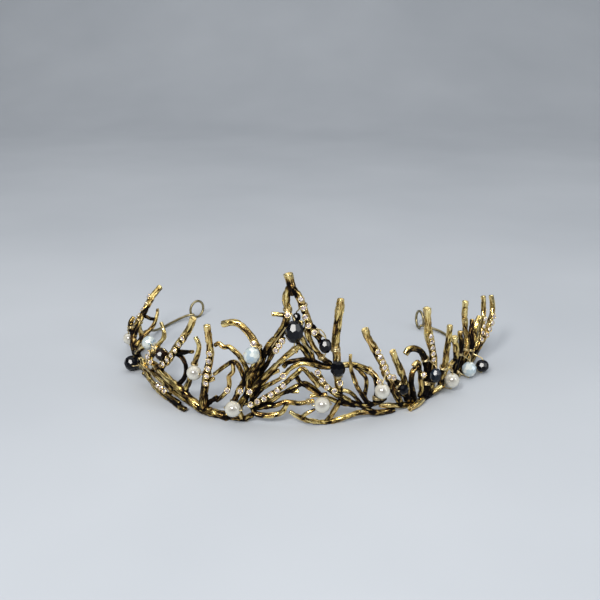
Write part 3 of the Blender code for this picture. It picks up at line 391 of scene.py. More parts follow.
# ---------------------------------------------------------------- rows of rhinestones
# name: (number of stones, places the row passes through)
ROWS = {
    "rhinestones_left_end_shoot": (4, [
        (-95, 23.7, -2.8), (-91.7, 19.8, -1.8), (-89.2, 17, 0), (-87, 15, 1.2)]),
    "rhinestones_left_end_foot": (3, [
        (-48.7, 12.4, 2), (-51.8, 14.6, 1.8), (-49.6, 17.6)]),
    "rhinestones_left_diagonal": (6, [
        (-30.7, 31.3, 3), (-34.3, 25), (-37.5, 20.3), (-41.8, 15.2)]),
    "rhinestones_left_base": (3, [
        (-47.2, 4.6, 1.8), (-44.3, 4.6), (-41.5, 3.6)]),
    "rhinestones_left_spike": (5, [
        (-21.8, 28, 3.2), (-22.3, 23.5), (-23.4, 16.5), (-23.9, 12.8)]),
    "rhinestones_left_centre": (2, [
        (-14.4, 13.2, 2.6), (-11.5, 13.6, 2.8), (-8.6, 13.8, 2.9)]),
    "rhinestones_peak": (5, [
        (4.2, 51, 2.2), (5.3, 46, 2.3), (6, 41.7), (7, 38.8), (9.2, 35.8)]),
    "rhinestones_peak_inner": (3, [
        (-0.3, 34.6, 1.9), (-1.6, 31.9, 1.8), (-3, 29, 1.6)]),
    "rhinestones_centre_strand": (6, [
        (-10.8, 8, 3), (-7.2, 10.7, 3.2), (-4.5, 12.8), (-1.9, 15.3), (0.4, 18.2)]),
    "rhinestones_right_strand": (4, [
        (8.7, 23.7, 3.2), (10.2, 19.5, 3.3), (12, 16, 3.2), (15.2, 13.8, 2.8)]),
    "rhinestones_right_wing_spike": (6, [
        (26.6, 28.5, 2.4), (28.7, 23), (30.2, 18.5, 2.3), (32, 15.3, 2)]),
    "rhinestones_right_spike": (5, [
        (46.8, 29, 2.4), (48.3, 23), (49.6, 16)]),
    "rhinestones_right_end_inner": (4, [
        (84.6, 21.5, 11.4), (83.6, 17, 11.2), (82, 14.2, 10.8), (80.2, 11.6, 10.4)]),
    "rhinestones_right_end_outer": (4, [
        (87.5, 21.5, 15.6), (86.7, 18.2, 15), (85.6, 15.5, 14), (83.2, 12.3, 12.2)]),
}

# Single stones set apart from the rows, as (station, height, out).
LONE_STONES = [(0.9, 43.5, 1.9), (28.5, 14.6, 1.2), (33.1, 15.3, 1.6), (46.0, 12.0, 1.2),
               (-8.6, 32.6, 2.9), (15.8, 16.8, 1.9), (-17.6, 12.0, 1.0), (-0.5, 20.3, 1.9)]

# Rows whose stones sit on the front of their shoot: (station, out) they are moved by.
ROW_MOVES = {"rhinestones_right_end_inner": (-0.9, -0.9),
             "rhinestones_right_end_outer": (-0.9, -0.9)}

# The slim strands that carry the rows standing off their shoots: places, tip radius, root radius.
ROW_STRANDS = [
    # behind the three stones at the foot of the left end
    ([(-49.7, 17.7, 0.8), (-50.4, 16.5), (-52.1, 14.2, 0.9), (-49.9, 12.5, 1.0),
      (-49.3, 11.6, 0.4)], 0.7, 0.9),
    # behind the inner stones of the peak
    ([(-0.3, 34.4, 0.9), (-1.5, 31.7, 0.8), (-2.4, 29.9, 0.7), (-4.0, 27.2, 0.0),
      (-5.0, 24.5, -1.4)], 0.65, 0.8),
    # behind the inner row of the right end
    ([(84.2, 21.0, 9.75), (83.2, 16.5, 9.55), (81.6, 13.7, 9.15), (79.8, 11.1, 8.75),
      (79.2, 8.4, 7.8), (78.9, 5.8, 6.4)], 0.7, 0.85),
    # behind the outer row of the right end
    ([(87.1, 21.0, 13.95), (86.3, 17.7, 13.35), (85.2, 15.0, 12.35), (82.8, 11.8, 10.55),
      (82.0, 9.4, 9.5), (81.2, 5.8, 7.6)], 0.7, 0.85),
]

# Ends of the binding wires left showing, each by the places it passes through.
LOOSE_ENDS = [
    ("black_peak_wire", [(0.3, 39, 2.4), (-0.9, 36.5, 1.9), (-2.3, 33.8, 1.7), (-3.7, 31, 1.4)]),
    ("black_peak_wire", [(5.2, 37.4, 2.4), (6.2, 39.2, 2.4), (7.4, 40.2, 2.2)]),
    ("black_peak_wire", [(4, 34.8, 2.2), (5.4, 32.6, 1.6), (6.9, 30.6, 1.2), (8.2, 28.9, 1.4)]),
    ("black_peak_right_wire", [(8.7, 38.6, 2.4), (10.2, 37.8, 2.5), (11.1, 36.2, 2.8),
                               (11.4, 34.9, 3)]),
]

# ---------------------------------------------------------------- end wires
# name: (places the wire passes through, place of its eye's middle, 1 where it runs on towards
# growing station or -1, and how far the eye is turned about +Z in degrees)
END_WIRES = {
    "left_end_wire": ([(-92, 5.8, 0.5), (-97, 4.4, 0), (-103, 1.8, -0.4), (-109.5, 0.9, -0.7),
                       (-114, 1.0, -1.1), (-118.5, 1.4, -1.8), (-121.5, 2.0, -3.0)],
                      (-126.5, 4.42, -5.6), -1, 0.0),
    "right_end_wire": ([(89, 6.2, 4.8), (94, 5.0, 3.6), (100, 2.4, 2.2), (106, 0.9, 1.2),
                        (110.5, 1.0, 0.0), (113.3, 1.4, -2.2), (115.3, 2.0, -4.4)],
                       (118.6, 4.44, -6.6), 1, -12.0),
}

# ---------------------------------------------------------------- names from the CAD
FRAME_BODY = "tiara_frame"


# ---------------------------------------------------------------- places and lines
def at(station, height, out=0.0):
    """Point in metres of a place given round the ring."""
    reach = RING_RADIUS + out
    turn = math.radians(station)
    return MM * np.array([RING_CENTRE[0] + reach * math.sin(turn),
                          RING_CENTRE[1] - reach * math.cos(turn), height])


def places(controls, turn=0.0, outwards=0.0):
    """Points in metres of a list of places, moved by some station and out."""
    points, out = [], 0.0
    for station, height, *given in controls:
        out = given[0] if given else out
        points.append(at(station + turn, height, out + outwards))
    return points


def unit(vector):
    """The vector at length 1."""
    return vector / np.linalg.norm(vector)


def outward(point):
    """Unit vector pointing level out of the ring at a point."""
    return unit(np.array([point[0] - RING_CENTRE[0] * MM, point[1] - RING_CENTRE[1] * MM, 0.0]))


def along(point):
    """Unit vector along the ring at a point, towards growing station."""
    out = outward(point)
    return np.array([-out[1], out[0], 0.0])


def smooth_line(controls, step):
    """Points about a step apart on a rounded curve through the controls.

    Returns the points, each point's share of the way through the controls, and its distance in
    metres from the first one.
    """
    spots = np.array(controls)
    ends = np.vstack([2 * spots[0] - spots[1], spots, 2 * spots[-1] - spots[-2]])
    t = np.linspace(0, 1, 24, endpoint=False)[:, None]
    dense, shares = [], []
    for i in range(len(spots) - 1):
        a, b, c, d = ends[i:i + 4]
        dense.append(0.5 * (2 * b + (c - a) * t + (2 * a - 5 * b + 4 * c - d) * t ** 2
                            + (3 * b - a - 3 * c + d) * t ** 3))
        shares.append((i + t[:, 0]) / (len(spots) - 1))
    dense = np.vstack(dense + [spots[-1:]])
    shares = np.append(np.concatenate(shares), 1.0)
    hops = np.linalg.norm(np.diff(dense, axis=0), axis=1)
    reach = np.concatenate([[0.0], np.cumsum(hops)])
    want = np.linspace(0, reach[-1], max(4, round(reach[-1] / step) + 1))
    line = np.column_stack([np.interp(want, reach, dense[:, k]) for k in range(3)])
    return line, np.interp(want, reach, shares), want


def frames(line):
    """Tangents of a line and two side directions that follow it without twisting."""
    tangents = np.gradient(line, axis=0)
    tangents /= np.linalg.norm(tangents, axis=1)[:, None]
    off_axis = (0.31, 0.17, 0.93)
    side = np.cross(tangents[0], off_axis)
    sides = []
    for tangent in tangents:
        side = unit(side - tangent * side.dot(tangent))
        sides.append(side)
    sides = np.array(sides)
    return tangents, sides, np.cross(tangents, sides)


def round_about(sides, first, second):
    """Turns of a ring's points, and the unit vectors to them at each point of a line."""
    turns = np.linspace(0, 2 * math.pi, sides, endpoint=False)
    return turns, (np.cos(turns)[None, :, None] * first[:, None]
                   + np.sin(turns)[None, :, None] * second[:, None])


def fibre(turns, girths, reach):
    """Grain of a rod, in mm: where each point of its rings lies across it and along it."""
    return np.stack([np.cos(turns)[None] * girths[:, None], np.sin(turns)[None] * girths[:, None],
                     np.repeat(reach[:, None], len(turns), 1)], axis=2)


def soft_noise(rng, rows, columns, row_cells, column_cells):
    """Smooth random field from -1 to 1, closed on itself across its columns."""
    row_cells = max(1, round(row_cells))
    grid = rng.uniform(-1, 1, (row_cells + 2, column_cells))
    grid = np.column_stack([grid, grid[:, 0]])
    r = np.linspace(0, row_cells, rows)
    c = np.linspace(0, column_cells, columns, endpoint=False)
    ri, ci = r.astype(int), c.astype(int)
    rf, cf = r - ri, c - ci
    rf = (rf * rf * (3 - 2 * rf))[:, None]
    cf = (cf * cf * (3 - 2 * cf))[None, :]
    near = grid[ri][:, ci] * (1 - cf) + grid[ri][:, ci + 1] * cf
    far = grid[ri + 1][:, ci] * (1 - cf) + grid[ri + 1][:, ci + 1] * cf
    return near * (1 - rf) + far * rf


# ---------------------------------------------------------------- meshes
def tube_faces(rows, sides, start=0, closed=False):
    """Quads between the rings of a tube, and its two end faces unless its rings close up."""
    faces = []
    for i in range(rows if closed else rows - 1):
        for j in range(sides):
            k = (j + 1) % sides
            a, b = start + i * sides, start + (i + 1) % rows * sides
            faces.append((a + j, a + k, b + k, b + j))
    if not closed:
        faces.append(tuple(start + j for j in reversed(range(sides))))
        faces.append(tuple(start + (rows - 1) * sides + j for j in range(sides)))
    return faces


def make_object(name, points, faces, values=None, materials=(), slots=None):
    """Smooth-shaded mesh object whose point attributes are named in values."""
    mesh = bpy.data.meshes.new(name)
    mesh.from_pydata([tuple(p) for p in points], [], faces)
    for key, data in (values or {}).items():
        data = np.asarray(data, np.float32)
        kind = "FLOAT_VECTOR" if data.ndim == 2 else "FLOAT"
        layer = mesh.attributes.new(key, kind, "POINT")
        layer.data.foreach_set("vector" if data.ndim == 2 else "value", data.ravel())
    for material in materials:
        mesh.materials.append(material)
    if slots is not None:
        mesh.polygons.foreach_set("material_index", np.asarray(slots, np.int32))
    mesh.polygons.foreach_set("use_smooth", [True] * len(mesh.polygons))
    mesh.validate()
    made = bpy.data.objects.new(name, mesh)
    bpy.context.scene.collection.objects.link(made)
    return made


class Parts:
    """Points, faces and point values gathered from several meshes into one object."""

    def __init__(self):
        self.points, self.faces, self.values, self.count = [], [], {}, 0

    def add(self, points, faces, **values):
        self.faces += [tuple(i + self.count for i in face) for face in faces]
        self.points.append(points)
        self.count += len(points)
        for key, data in values.items():
            self.values.setdefault(key, []).append(data)

    def made(self, name, materials, slots=None):
        values = {key: np.concatenate(data) for key, data in self.values.items()}
        return make_object(name, np.vstack(self.points), self.faces, values, materials, slots)


def stand_for(node, obj, body=FRAME_BODY):
    """The piece stands for a CAD node, which it hides, and rides on its body."""
    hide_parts(node)
    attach(obj, body)


# ---------------------------------------------------------------- materials
class Paint:
    """A Principled material whose node tree is built one call at a time."""

    def __init__(self, name):
        self.material = bpy.data.materials.new(name)
        self.material.use_nodes = True
        self.tree = self.material.node_tree
        self.shader = self.tree.nodes["Principled BSDF"]

    def feed(self, socket, value):
        if isinstance(value, bpy.types.NodeSocket):
            self.tree.links.new(value, socket)
        else:
            socket.default_value = value

    def set(self, **inputs):
        for key, value in inputs.items():
            self.feed(self.shader.inputs[key.replace("_", " ")], value)

    def add(self, kind, **settings):
        node = self.tree.nodes.new("ShaderNode" + kind)
        for key, value in settings.items():
            setattr(node, key, value)
        return node

    def attribute(self, name, output="Fac"):
        return self.add("Attribute", attribute_name=name).outputs[output]

    def object_place(self):
        return self.add("TexCoord").outputs["Object"]

    def stretched(self, vector, scale):
        node = self.add("Mapping")
        self.feed(node.inputs["Vector"], vector)
        node.inputs["Scale"].default_value = scale
        return node.outputs["Vector"]

    def noise(self, vector, scale, detail=3.0, roughness=0.5):
        node = self.add("TexNoise")
        self.feed(node.inputs["Vector"], vector)
        node.inputs["Scale"].default_value = scale
        node.inputs["Detail"].default_value = detail
        node.inputs["Roughness"].default_value = roughness
        return node.outputs["Fac"]

    def maths(self, operation, a, b=0.0, clamp=False):
        node = self.add("Math", operation=operation, use_clamp=clamp)
        self.feed(node.inputs[0], a)
        self.feed(node.inputs[1], b)
        return node.outputs[0]

    def blend_of(self, terms, base=0.0):
        """Clamped sum of base and each (value, weight)."""
        total = base
        for value, weight in terms:
            total = self.maths("ADD", self.maths("MULTIPLY", value, weight), total)
        return self.maths("ADD", total, 0.0, clamp=True)

    def ramp(self, value, stops):
        node = self.add("ValToRGB")
        self.feed(node.inputs["Fac"], value)
        points = node.color_ramp.elements
        while len(points) < len(stops):
            points.new(0.5)
        for point, (place, colour) in zip(points, stops):
            point.position = place
            point.color = (*colour, 1.0)
        return node.outputs["Color"]

    def mix(self, factor, first, second):
        node = self.add("Mix", data_type="RGBA")
        self.feed(node.inputs[0], factor)
        self.feed(node.inputs[6], first)
        self.feed(node.inputs[7], second)
        return node.outputs[2]

    def grade(self, value, low, high, start=0.0, end=1.0):
        """Value from start to end mapped to low to high, clamped."""
        node = self.add("MapRange")
        for key, number in (("From Min", start), ("From Max", end), ("To Min", low),
                            ("To Max", high)):
            node.inputs[key].default_value = number
        self.feed(node.inputs["Value"], value)
        return node.outputs["Result"]

    def bump(self, height, distance, strength=1.0):
        node = self.add("Bump")
        self.feed(node.inputs["Height"], height)
        node.inputs["Distance"].default_value = distance * MM
        node.inputs["Strength"].default_value = strength
        return node.outputs["Normal"]


def antique_gold():
    """Cast alloy, gilt and blackened: the gilding is rubbed bright on ridges and tips, painted
    brighter on faces turned up as painted light, and painted darker where twigs crowd as painted
    shade.
    """
    paint = Paint("antique_gold_cast")
    grain = paint.attribute("grain", "Vector")
    streaks = paint.noise(paint.stretched(grain, (2.2, 2.2, 0.30)), 1.0, 5.0, 0.68)
    specks = paint.noise(paint.stretched(grain, (4.2, 4.2, 1.7)), 1.0, 3.0, 0.6)
    # The relief value also holds painted light on faces turned up, and the crowding value is
    # painted shade between twigs; both set colour, metallic and roughness.
    gilt_brightness = paint.blend_of([(paint.attribute("relief"), 0.75), (streaks, 3.2), (specks, 1.0),
                             (paint.attribute("wear"), 0.62), (paint.attribute("crowd"), -0.80)],
                            -2.12)
    yellow = paint.ramp(gilt_brightness, [(0.0, (0.003, 0.002, 0.002)), (0.28, (0.020, 0.013, 0.006)),
                                 (0.44, (0.230, 0.148, 0.042)), (0.66, (0.720, 0.520, 0.145)),
                                 (1.0, (1.000, 0.820, 0.380))])
    brown = paint.ramp(gilt_brightness, [(0.0, (0.003, 0.002, 0.002)), (0.28, (0.026, 0.012, 0.005)),
                                (0.44, (0.200, 0.100, 0.028)), (0.66, (0.550, 0.330, 0.092)),
                                (1.0, (0.950, 0.700, 0.290))])
    cast = paint.noise(paint.stretched(grain, (0.45, 0.45, 0.16)), 1.0, 2.0)
    colour = paint.mix(paint.grade(cast, 0.0, 1.0, 0.42, 0.66), yellow, brown)
    height = paint.blend_of([(streaks, 0.65), (specks, 0.35)])
    paint.set(Base_Color=colour, Metallic=paint.grade(gilt_brightness, 0.25, 1.0, 0.1, 0.5),
              Specular_IOR_Level=paint.grade(gilt_brightness, 0.04, 0.5, 0.1, 0.6),
              Roughness=paint.grade(gilt_brightness, 0.50, 0.17), Normal=paint.bump(height, 0.12, 1.0))
    return paint.material


def drawn_metal(name, tarnish_scale, scratch_scale, stops, roughness, depth):
    """Drawn wire: tarnish and scratches that run along it."""
    paint = Paint(name)
    grain = paint.attribute("grain", "Vector")
    tarnish = paint.noise(paint.stretched(grain, tarnish_scale), 1.0, 4.0, 0.6)
    scratches = paint.noise(paint.stretched(grain, scratch_scale), 1.0, 2.0)
    paint.set(Base_Color=paint.ramp(tarnish, stops), Metallic=1.0,
              Roughness=paint.grade(tarnish, *roughness), Normal=paint.bump(scratches, depth, 0.5))
    return paint.material


def pale_wire():
    """Pale gold wire of the beads, a little tarnished."""
    return drawn_metal("pale_gold_drawn", (2.5, 2.5, 0.5), (9.0, 9.0, 0.4),
                       [(0.25, (0.300, 0.210, 0.090)), (0.5, (0.720, 0.580, 0.300)),
                        (0.75, (0.920, 0.800, 0.520))], (0.42, 0.2), 0.02)


def aged_brass():
    """Bendable brass wire of the ends, dulled to olive."""
    return drawn_metal("aged_brass_wire", (1.4, 1.4, 0.28), (7.0, 7.0, 0.3),
                       [(0.25, (0.090, 0.072, 0.038)), (0.5, (0.300, 0.250, 0.130)),
                        (0.8, (0.620, 0.540, 0.330))], (0.5, 0.26), 0.03)


def pearl_coat():
    """Imitation pearl: cream body under a clear, faintly iridescent lustre, with a painted
    reflection of the room: the body is painted darker where it faces the eye and lighter towards
    the rim.
    """
    paint = Paint("pearl_lustre")
    place = paint.object_place()
    cloud = paint.noise(place, 420.0, 3.0)
    facing = paint.add("LayerWeight").outputs["Facing"]
    # Painted reflection: the body colour follows the facing angle, dark in the middle and light
    # towards the rim.
    body = paint.blend_of([(cloud, 0.3), (facing, 1.0)], -0.14)
    colour = paint.ramp(body, [(0.0, (0.300, 0.290, 0.258)), (0.10, (0.430, 0.418, 0.370)),
                               (0.28, (0.590, 0.572, 0.505)), (0.60, (0.610, 0.586, 0.500)),
                               (1.0, (0.520, 0.495, 0.410))])
    skin = paint.noise(place, 2600.0, 2.0)
    paint.set(Base_Color=colour, Roughness=paint.grade(cloud, 0.30, 0.20), Coat_Weight=1.0,
              Coat_IOR=2.1, Coat_Roughness=0.04, Thin_Film_Thickness=420.0, Thin_Film_IOR=1.45,
              Normal=paint.bump(skin, 0.01, 0.3))
    return paint.material


def opal_glass():
    """Milky cut glass: facets from icy blue to warm white."""
    paint = Paint("opal_cut_glass")
    facet = paint.attribute("facet")
    milk = paint.noise(paint.object_place(), 500.0, 3.0)
    tone = paint.blend_of([(facet, 1.0), (milk, 0.5)], -0.25)
    colour = paint.ramp(tone, [(0.0, (0.300, 0.400, 0.480)), (0.30, (0.410, 0.490, 0.520)),
                               (0.60, (0.500, 0.560, 0.550)), (1.0, (0.680, 0.715, 0.680))])
    paint.set(Base_Color=colour, Roughness=paint.grade(milk, 0.14, 0.05), Coat_Weight=0.6,
              Coat_Roughness=0.02, IOR=1.55)
    return paint.material


def black_glass(name, tint):
    """Opaque cut glass, nearly black, with a tint in its lighter facets."""
    paint = Paint(name)
    facet = paint.attribute("facet")
    haze = paint.noise(paint.object_place(), 700.0, 3.0)
    tone = paint.blend_of([(facet, 0.8), (haze, 0.4)], -0.15)
    colour = paint.ramp(tone, [(0.0, (0.002, 0.002, 0.003)), (0.6, tuple(0.35 * c for c in tint)),
                               (1.0, tint)])
    paint.set(Base_Color=colour, Roughness=paint.grade(haze, 0.09, 0.02), IOR=1.52,
              Specular_IOR_Level=0.18)
    return paint.material


def foiled_stone():
    """Foil-backed rhinestone: each facet is painted a brighter or darker flash of the foil, a
    painted glint, under a fine painted sparkle.
    """
    paint = Paint("foiled_rhinestone")
    facet = paint.attribute("facet")
    # Painted glints: the facet value and a fine sparkle noise set each facet's colour from dark to
    # near white.
    painted_sparkle = paint.noise(paint.object_place(), 1800.0, 2.0)
    tone = paint.blend_of([(facet, 1.0), (painted_sparkle, 0.4)], -0.2)
    colour = paint.ramp(tone, [(0.0, (0.050, 0.038, 0.040)), (0.25, (0.230, 0.180, 0.180)),
                               (0.5, (0.600, 0.510, 0.500)), (1.0, (0.920, 0.880, 0.870))])
    paint.set(Base_Color=colour, Metallic=paint.grade(facet, 0.45, 0.15),
              Roughness=paint.grade(painted_sparkle, 0.10, 0.03), Coat_Weight=1.0, Coat_Roughness=0.01,
              IOR=1.6)
    return paint.material


def floor_cloth():
    """Pale, slightly uneven grey of the floor and backdrop."""
    paint = Paint("pale_floor")
    shade = paint.noise(paint.object_place(), 6.0, 3.0)
    colour = paint.ramp(shade, [(0.3, (0.430, 0.460, 0.500)), (0.7, (0.480, 0.510, 0.550))])
    paint.set(Base_Color=colour, Roughness=0.75)
    return paint.material


# ---------------------------------------------------------------- what the frame says
class Bead:
    """A bead's place and size, read from its joint and its CAD node."""

    def __init__(self, joint):
        self.name = joint["child"]
        self.centre = np.array(joint["pos_m"])
        self.axle = unit(np.array(joint["axis"]))
        corners = np.array([v.co for v in frame["nodes"][self.name].data.vertices])
        offsets = corners - self.centre
        heights = offsets @ self.axle
        self.half = np.abs(heights).max()
        self.radius = np.linalg.norm(offsets - np.outer(heights, self.axle), axis=1).max()
        self.out = outward(self.centre)
        self.across = np.cross(self.out, self.axle)
        self.kind = self.name.split("_")[0]

    def split(self, points):
        """Each point's offset along the axle, out of the ring and across both."""
        offsets = points - self.centre
        return offsets @ self.axle, offsets @ self.out, offsets @ self.across

    def nearness(self, points, margin=0.0):
        """How far out points are, where 1 is the surface of the bead grown by a margin."""
        rise, out, across = self.split(points)
        return np.sqrt((rise / (self.half + margin)) ** 2 + (out / (self.radius + margin)) ** 2
                       + (across / (self.radius + margin)) ** 2)

    def matrix(self):
        """Its placing, with Z along the axle and Y into the ring."""
        turn = Matrix((self.across, -self.out, self.axle)).transposed().to_4x4()
        if turn.determinant() < 0:
            turn = Matrix((-self.across, -self.out, self.axle)).transposed().to_4x4()
        return Matrix.Translation(Vector(self.centre)) @ turn


BEADS = [Bead(joint) for joint in frame["joints"]]


# ---------------------------------------------------------------- twigs
class Twig:
    """One twig's middle line, radii and surface."""

    def __init__(self, spec, seed):
        controls, tip, root = spec[:3]
        self.tone = spec[3] if len(spec) > 3 else 0.0
        self.rng = np.random.default_rng(seed)
        self.line, self.shares, self.reach = smooth_line(places(controls), TWIG_STEP * MM)
        self.radii = (tip + (root - tip) * self.shares) * MM
        self.tangents, self.sides, self.ups = frames(self.line)

    def surface(self):
        """Points of the barked surface ring by ring, the middles of their rings, and values."""
        rng, rows = self.rng, len(self.line)
        length = self.reach[-1] / MM
        creases = np.abs(soft_noise(rng, rows, TWIG_SIDES, length / CREASE_LENGTH, 7))
        creases = np.minimum(1.0, creases * CREASE_EDGE) - 1.0
        fine = soft_noise(rng, rows, TWIG_SIDES, length / FINE_LENGTH, 9)
        lumps = soft_noise(rng, rows, TWIG_SIDES, length / LUMP_LENGTH, 3)
        knots = soft_noise(rng, rows, 1, length / KNOT_LENGTH, 1)
        swell = np.clip(knots - KNOT_START, 0, 1) * KNOT_DEPTH
        scale = (TWIG_GIRTH + CREASE_DEPTH * creases + FINE_DEPTH * fine + LUMP_DEPTH * lumps
                 + swell)
        relief = (CREASE_RELIEF * creases + FLAT_RELIEF + FINE_RELIEF * fine
                  + LUMP_RELIEF * lumps + swell)
        bend = soft_noise(rng, rows, 2, length / BEND_LENGTH, 2) * BEND_DEPTH * MM
        from_end = np.minimum(self.reach, self.reach[-1] - self.reach)
        fade = np.clip(from_end / (BEND_FADE * MM), 0, 1)
        middle = self.line + (bend[:, :1] * self.sides + bend[:, 1:] * self.ups) * fade[:, None]
        return self.closed(middle, scale, relief)

    def closed(self, middle, scale, relief):
        """Adds the blunt tip and the rounded root to the rings."""
        middles, widths, relief_and_painted_light, first = [], [], [], []
        for lift, width in TIP_CAP:
            middles.append(middle[0] - self.tangents[0] * lift * self.radii[0])
            widths.append(width * scale[0] * self.radii[0])
            relief_and_painted_light.append(relief[0] * 0.4 + 0.9 * width - 0.35)
            first.append(0)
        for i in range(len(middle)):
            middles.append(middle[i])
            widths.append(scale[i] * self.radii[i])
            relief_and_painted_light.append(relief[i])
            first.append(i)
        for lift, width in ROOT_CAP:
            middles.append(middle[-1] + self.tangents[-1] * lift * self.radii[-1])
            widths.append(width * scale[-1] * self.radii[-1])
            relief_and_painted_light.append(relief[-1])
            first.append(len(middle) - 1)
        middles, widths, first = np.array(middles), np.array(widths), np.array(first)
        turns, around = round_about(TWIG_SIDES, self.sides[first], self.ups[first])
        points = middles[:, None] + around * widths[:, :, None]
        shift = self.rng.uniform(-50, 50, 3)
        # Painted light from above: faces turned up get more relief, so their gilding is painted
        # brighter.
        relief_and_painted_light = np.array(relief_and_painted_light) + PAINTED_TOP_LIGHT * around[:, :, 2]
        grain = fibre(turns, self.radii[first] / MM, self.reach[first] / MM) + shift
        gilt_brightness = (1.0 - ROOT_SHADE * self.shares[first]
                  + TIP_POLISH * np.exp(-self.reach[first] / (TIP_REACH * MM)) + self.tone)
        wear = np.repeat(gilt_brightness[:, None], TWIG_SIDES, 1)
        values = {"grain": grain.reshape(-1, 3), "relief": relief_and_painted_light.ravel(), "wear": wear.ravel()}
        return points.reshape(-1, 3), np.repeat(middles, TWIG_SIDES, 0), values


def keep_clear(points, middles):
    """Presses twig surfaces that reach into a bead's room back to its edge."""
    for bead in BEADS:
        radius = bead.radius + BEAD_CLEARANCE * MM
        half = bead.half + BEAD_CLEARANCE * MM
        rise, out, across = bead.split(points)
        room = 1 - (rise / half) ** 2 - (across / radius) ** 2
        edge = radius * np.sqrt(np.clip(room, 0, None))
        inside = (room > 0) & (np.abs(out) < edge)
        side = np.where(bead.split(middles)[1] > 0, 1.0, -1.0)
        points = points + np.where(inside, side * edge - out, 0.0)[:, None] * bead.out
    return points


def crowding(points, own, others):
    """From 0 to 1, how closely a point is hemmed in by other twigs, which sets the painted shade
    of the gold there.
    """
    middles = np.vstack([twig.line for twig in others])
    radii = np.concatenate([twig.radii for twig in others])
    lowest = own.line.min(0) - 4 * MM
    highest = own.line.max(0) + 4 * MM
    near = ((middles > lowest) & (middles < highest)).all(1)
    if not near.any():
        return np.zeros(len(points))
    gaps = np.linalg.norm(points[:, None] - middles[near][None], axis=2) - radii[near][None]
    return np.clip(1 - gaps.min(1) / (CROWD_SHADE_REACH * MM), 0, 1)


TWIGS = {name: [Twig(spec, SEED + 1000 * i + j) for j, spec in enumerate(specs)]
         for i, (name, specs) in enumerate(SPRIGS.items())}
ALL_TWIGS = [twig for twigs in TWIGS.values() for twig in twigs]


def cast_twigs(name, twigs, gold):
    """Some twigs as one object."""
    parts = Parts()
    for twig in twigs:
        points, middles, values = twig.surface()
        points = keep_clear(points, middles)
        points[:, 2] = np.maximum(points[:, 2], 0.0)
        # Painted shade where other twigs come close.
        crowd = crowding(points, twig, [other for other in ALL_TWIGS if other is not twig])
        parts.add(points, tube_faces(len(points) // TWIG_SIDES, TWIG_SIDES), **values, crowd=crowd)
    return parts.made(name, [gold])


# ---------------------------------------------------------------- wires
def wire_surface(line, radius, sides):
    """Points, faces and grain of a round wire along a line."""
    _, first, second = frames(line)
    turns, around = round_about(sides, first, second)
    reach = np.concatenate([[0.0], np.cumsum(np.linalg.norm(np.diff(line, axis=0), axis=1))])
    grain = fibre(turns, np.full(len(line), radius / MM), reach / MM)
    points = line[:, None] + around * radius
    return points.reshape(-1, 3), tube_faces(len(line), sides), grain.reshape(-1, 3)


def wire_root(first, second):
    """Point inside the twig that a wire starting with these two points grows out of."""
    behind = first - ROOT_REACH * MM * unit(second - first)
    near = [twig.line[np.argmin(np.linalg.norm(twig.line - behind, axis=1))] for twig in ALL_TWIGS]
    return min(near, key=lambda spot: np.linalg.norm(spot - behind))


def end_wire(name, brass):
    """Bendable wire from the end of the ring, closed into an upright eye loop."""
    controls, eye, direction, twist = END_WIRES[name]
    centre = at(*eye)
    ahead = along(centre) * direction
    turn = math.radians(twist)
    ahead = np.array([ahead[0] * math.cos(turn) - ahead[1] * math.sin(turn),
                      ahead[0] * math.sin(turn) + ahead[1] * math.cos(turn), 0.0])
    beside = outward(centre) * (2 * END_WIRE_RADIUS + EYE_GAP) * MM
    loop = []
    for share in np.arange(EYE_STEPS + 1) / EYE_STEPS:
        turn = math.radians(EYE_START + EYE_SWEEP * share)
        loop.append(centre + beside * share
                    + EYE_RADIUS * MM * (math.cos(turn) * ahead + math.sin(turn) * UP))
    run = places(controls)
    line, _, _ = smooth_line([wire_root(run[0], run[1])] + run + [loop[0]], END_WIRE_STEP * MM)
    line = np.vstack([line, loop[1:]])
    points, faces, grain = wire_surface(line, END_WIRE_RADIUS * MM, END_WIRE_SIDES)
    stand_for(name, make_object(name + "_drawn", points, faces, {"grain": grain}, [brass]))


def nearest_twig(spot, bead):
    """Middle point, direction and radius of the twig that a wire from a bead would be tied to.

    Points in the bead, or at the very ends of a twig, are put out of reach.
    """
    best, out_of_reach = None, 1.0
    for twig in ALL_TWIGS:
        far = np.linalg.norm(twig.line - spot, axis=1)
        clear = bead.nearness(twig.line) > 1.0 + TIE_CLEARANCE * MM / bead.radius
        far = np.where(clear, far, out_of_reach)
        far[:4] = far[-4:] = out_of_reach
        k = int(far.argmin())
        if best is None or far[k] < best[0]:
            best = (far[k], twig.line[k], twig.tangents[k], twig.radii[k])
    return best[1:]


def clear_of_bead(line, bead):
    """Points of a wire pushed off a bead that they would pass through."""
    size = bead.nearness(line, (BINDING_RADIUS + WIRE_CLEARANCE) * MM)
    middle = 0.05
    push = np.where((size < 1) & (size > middle), 1 / np.maximum(size, middle), 1.0)
    return bead.centre + (line - bead.centre) * push[:, None]


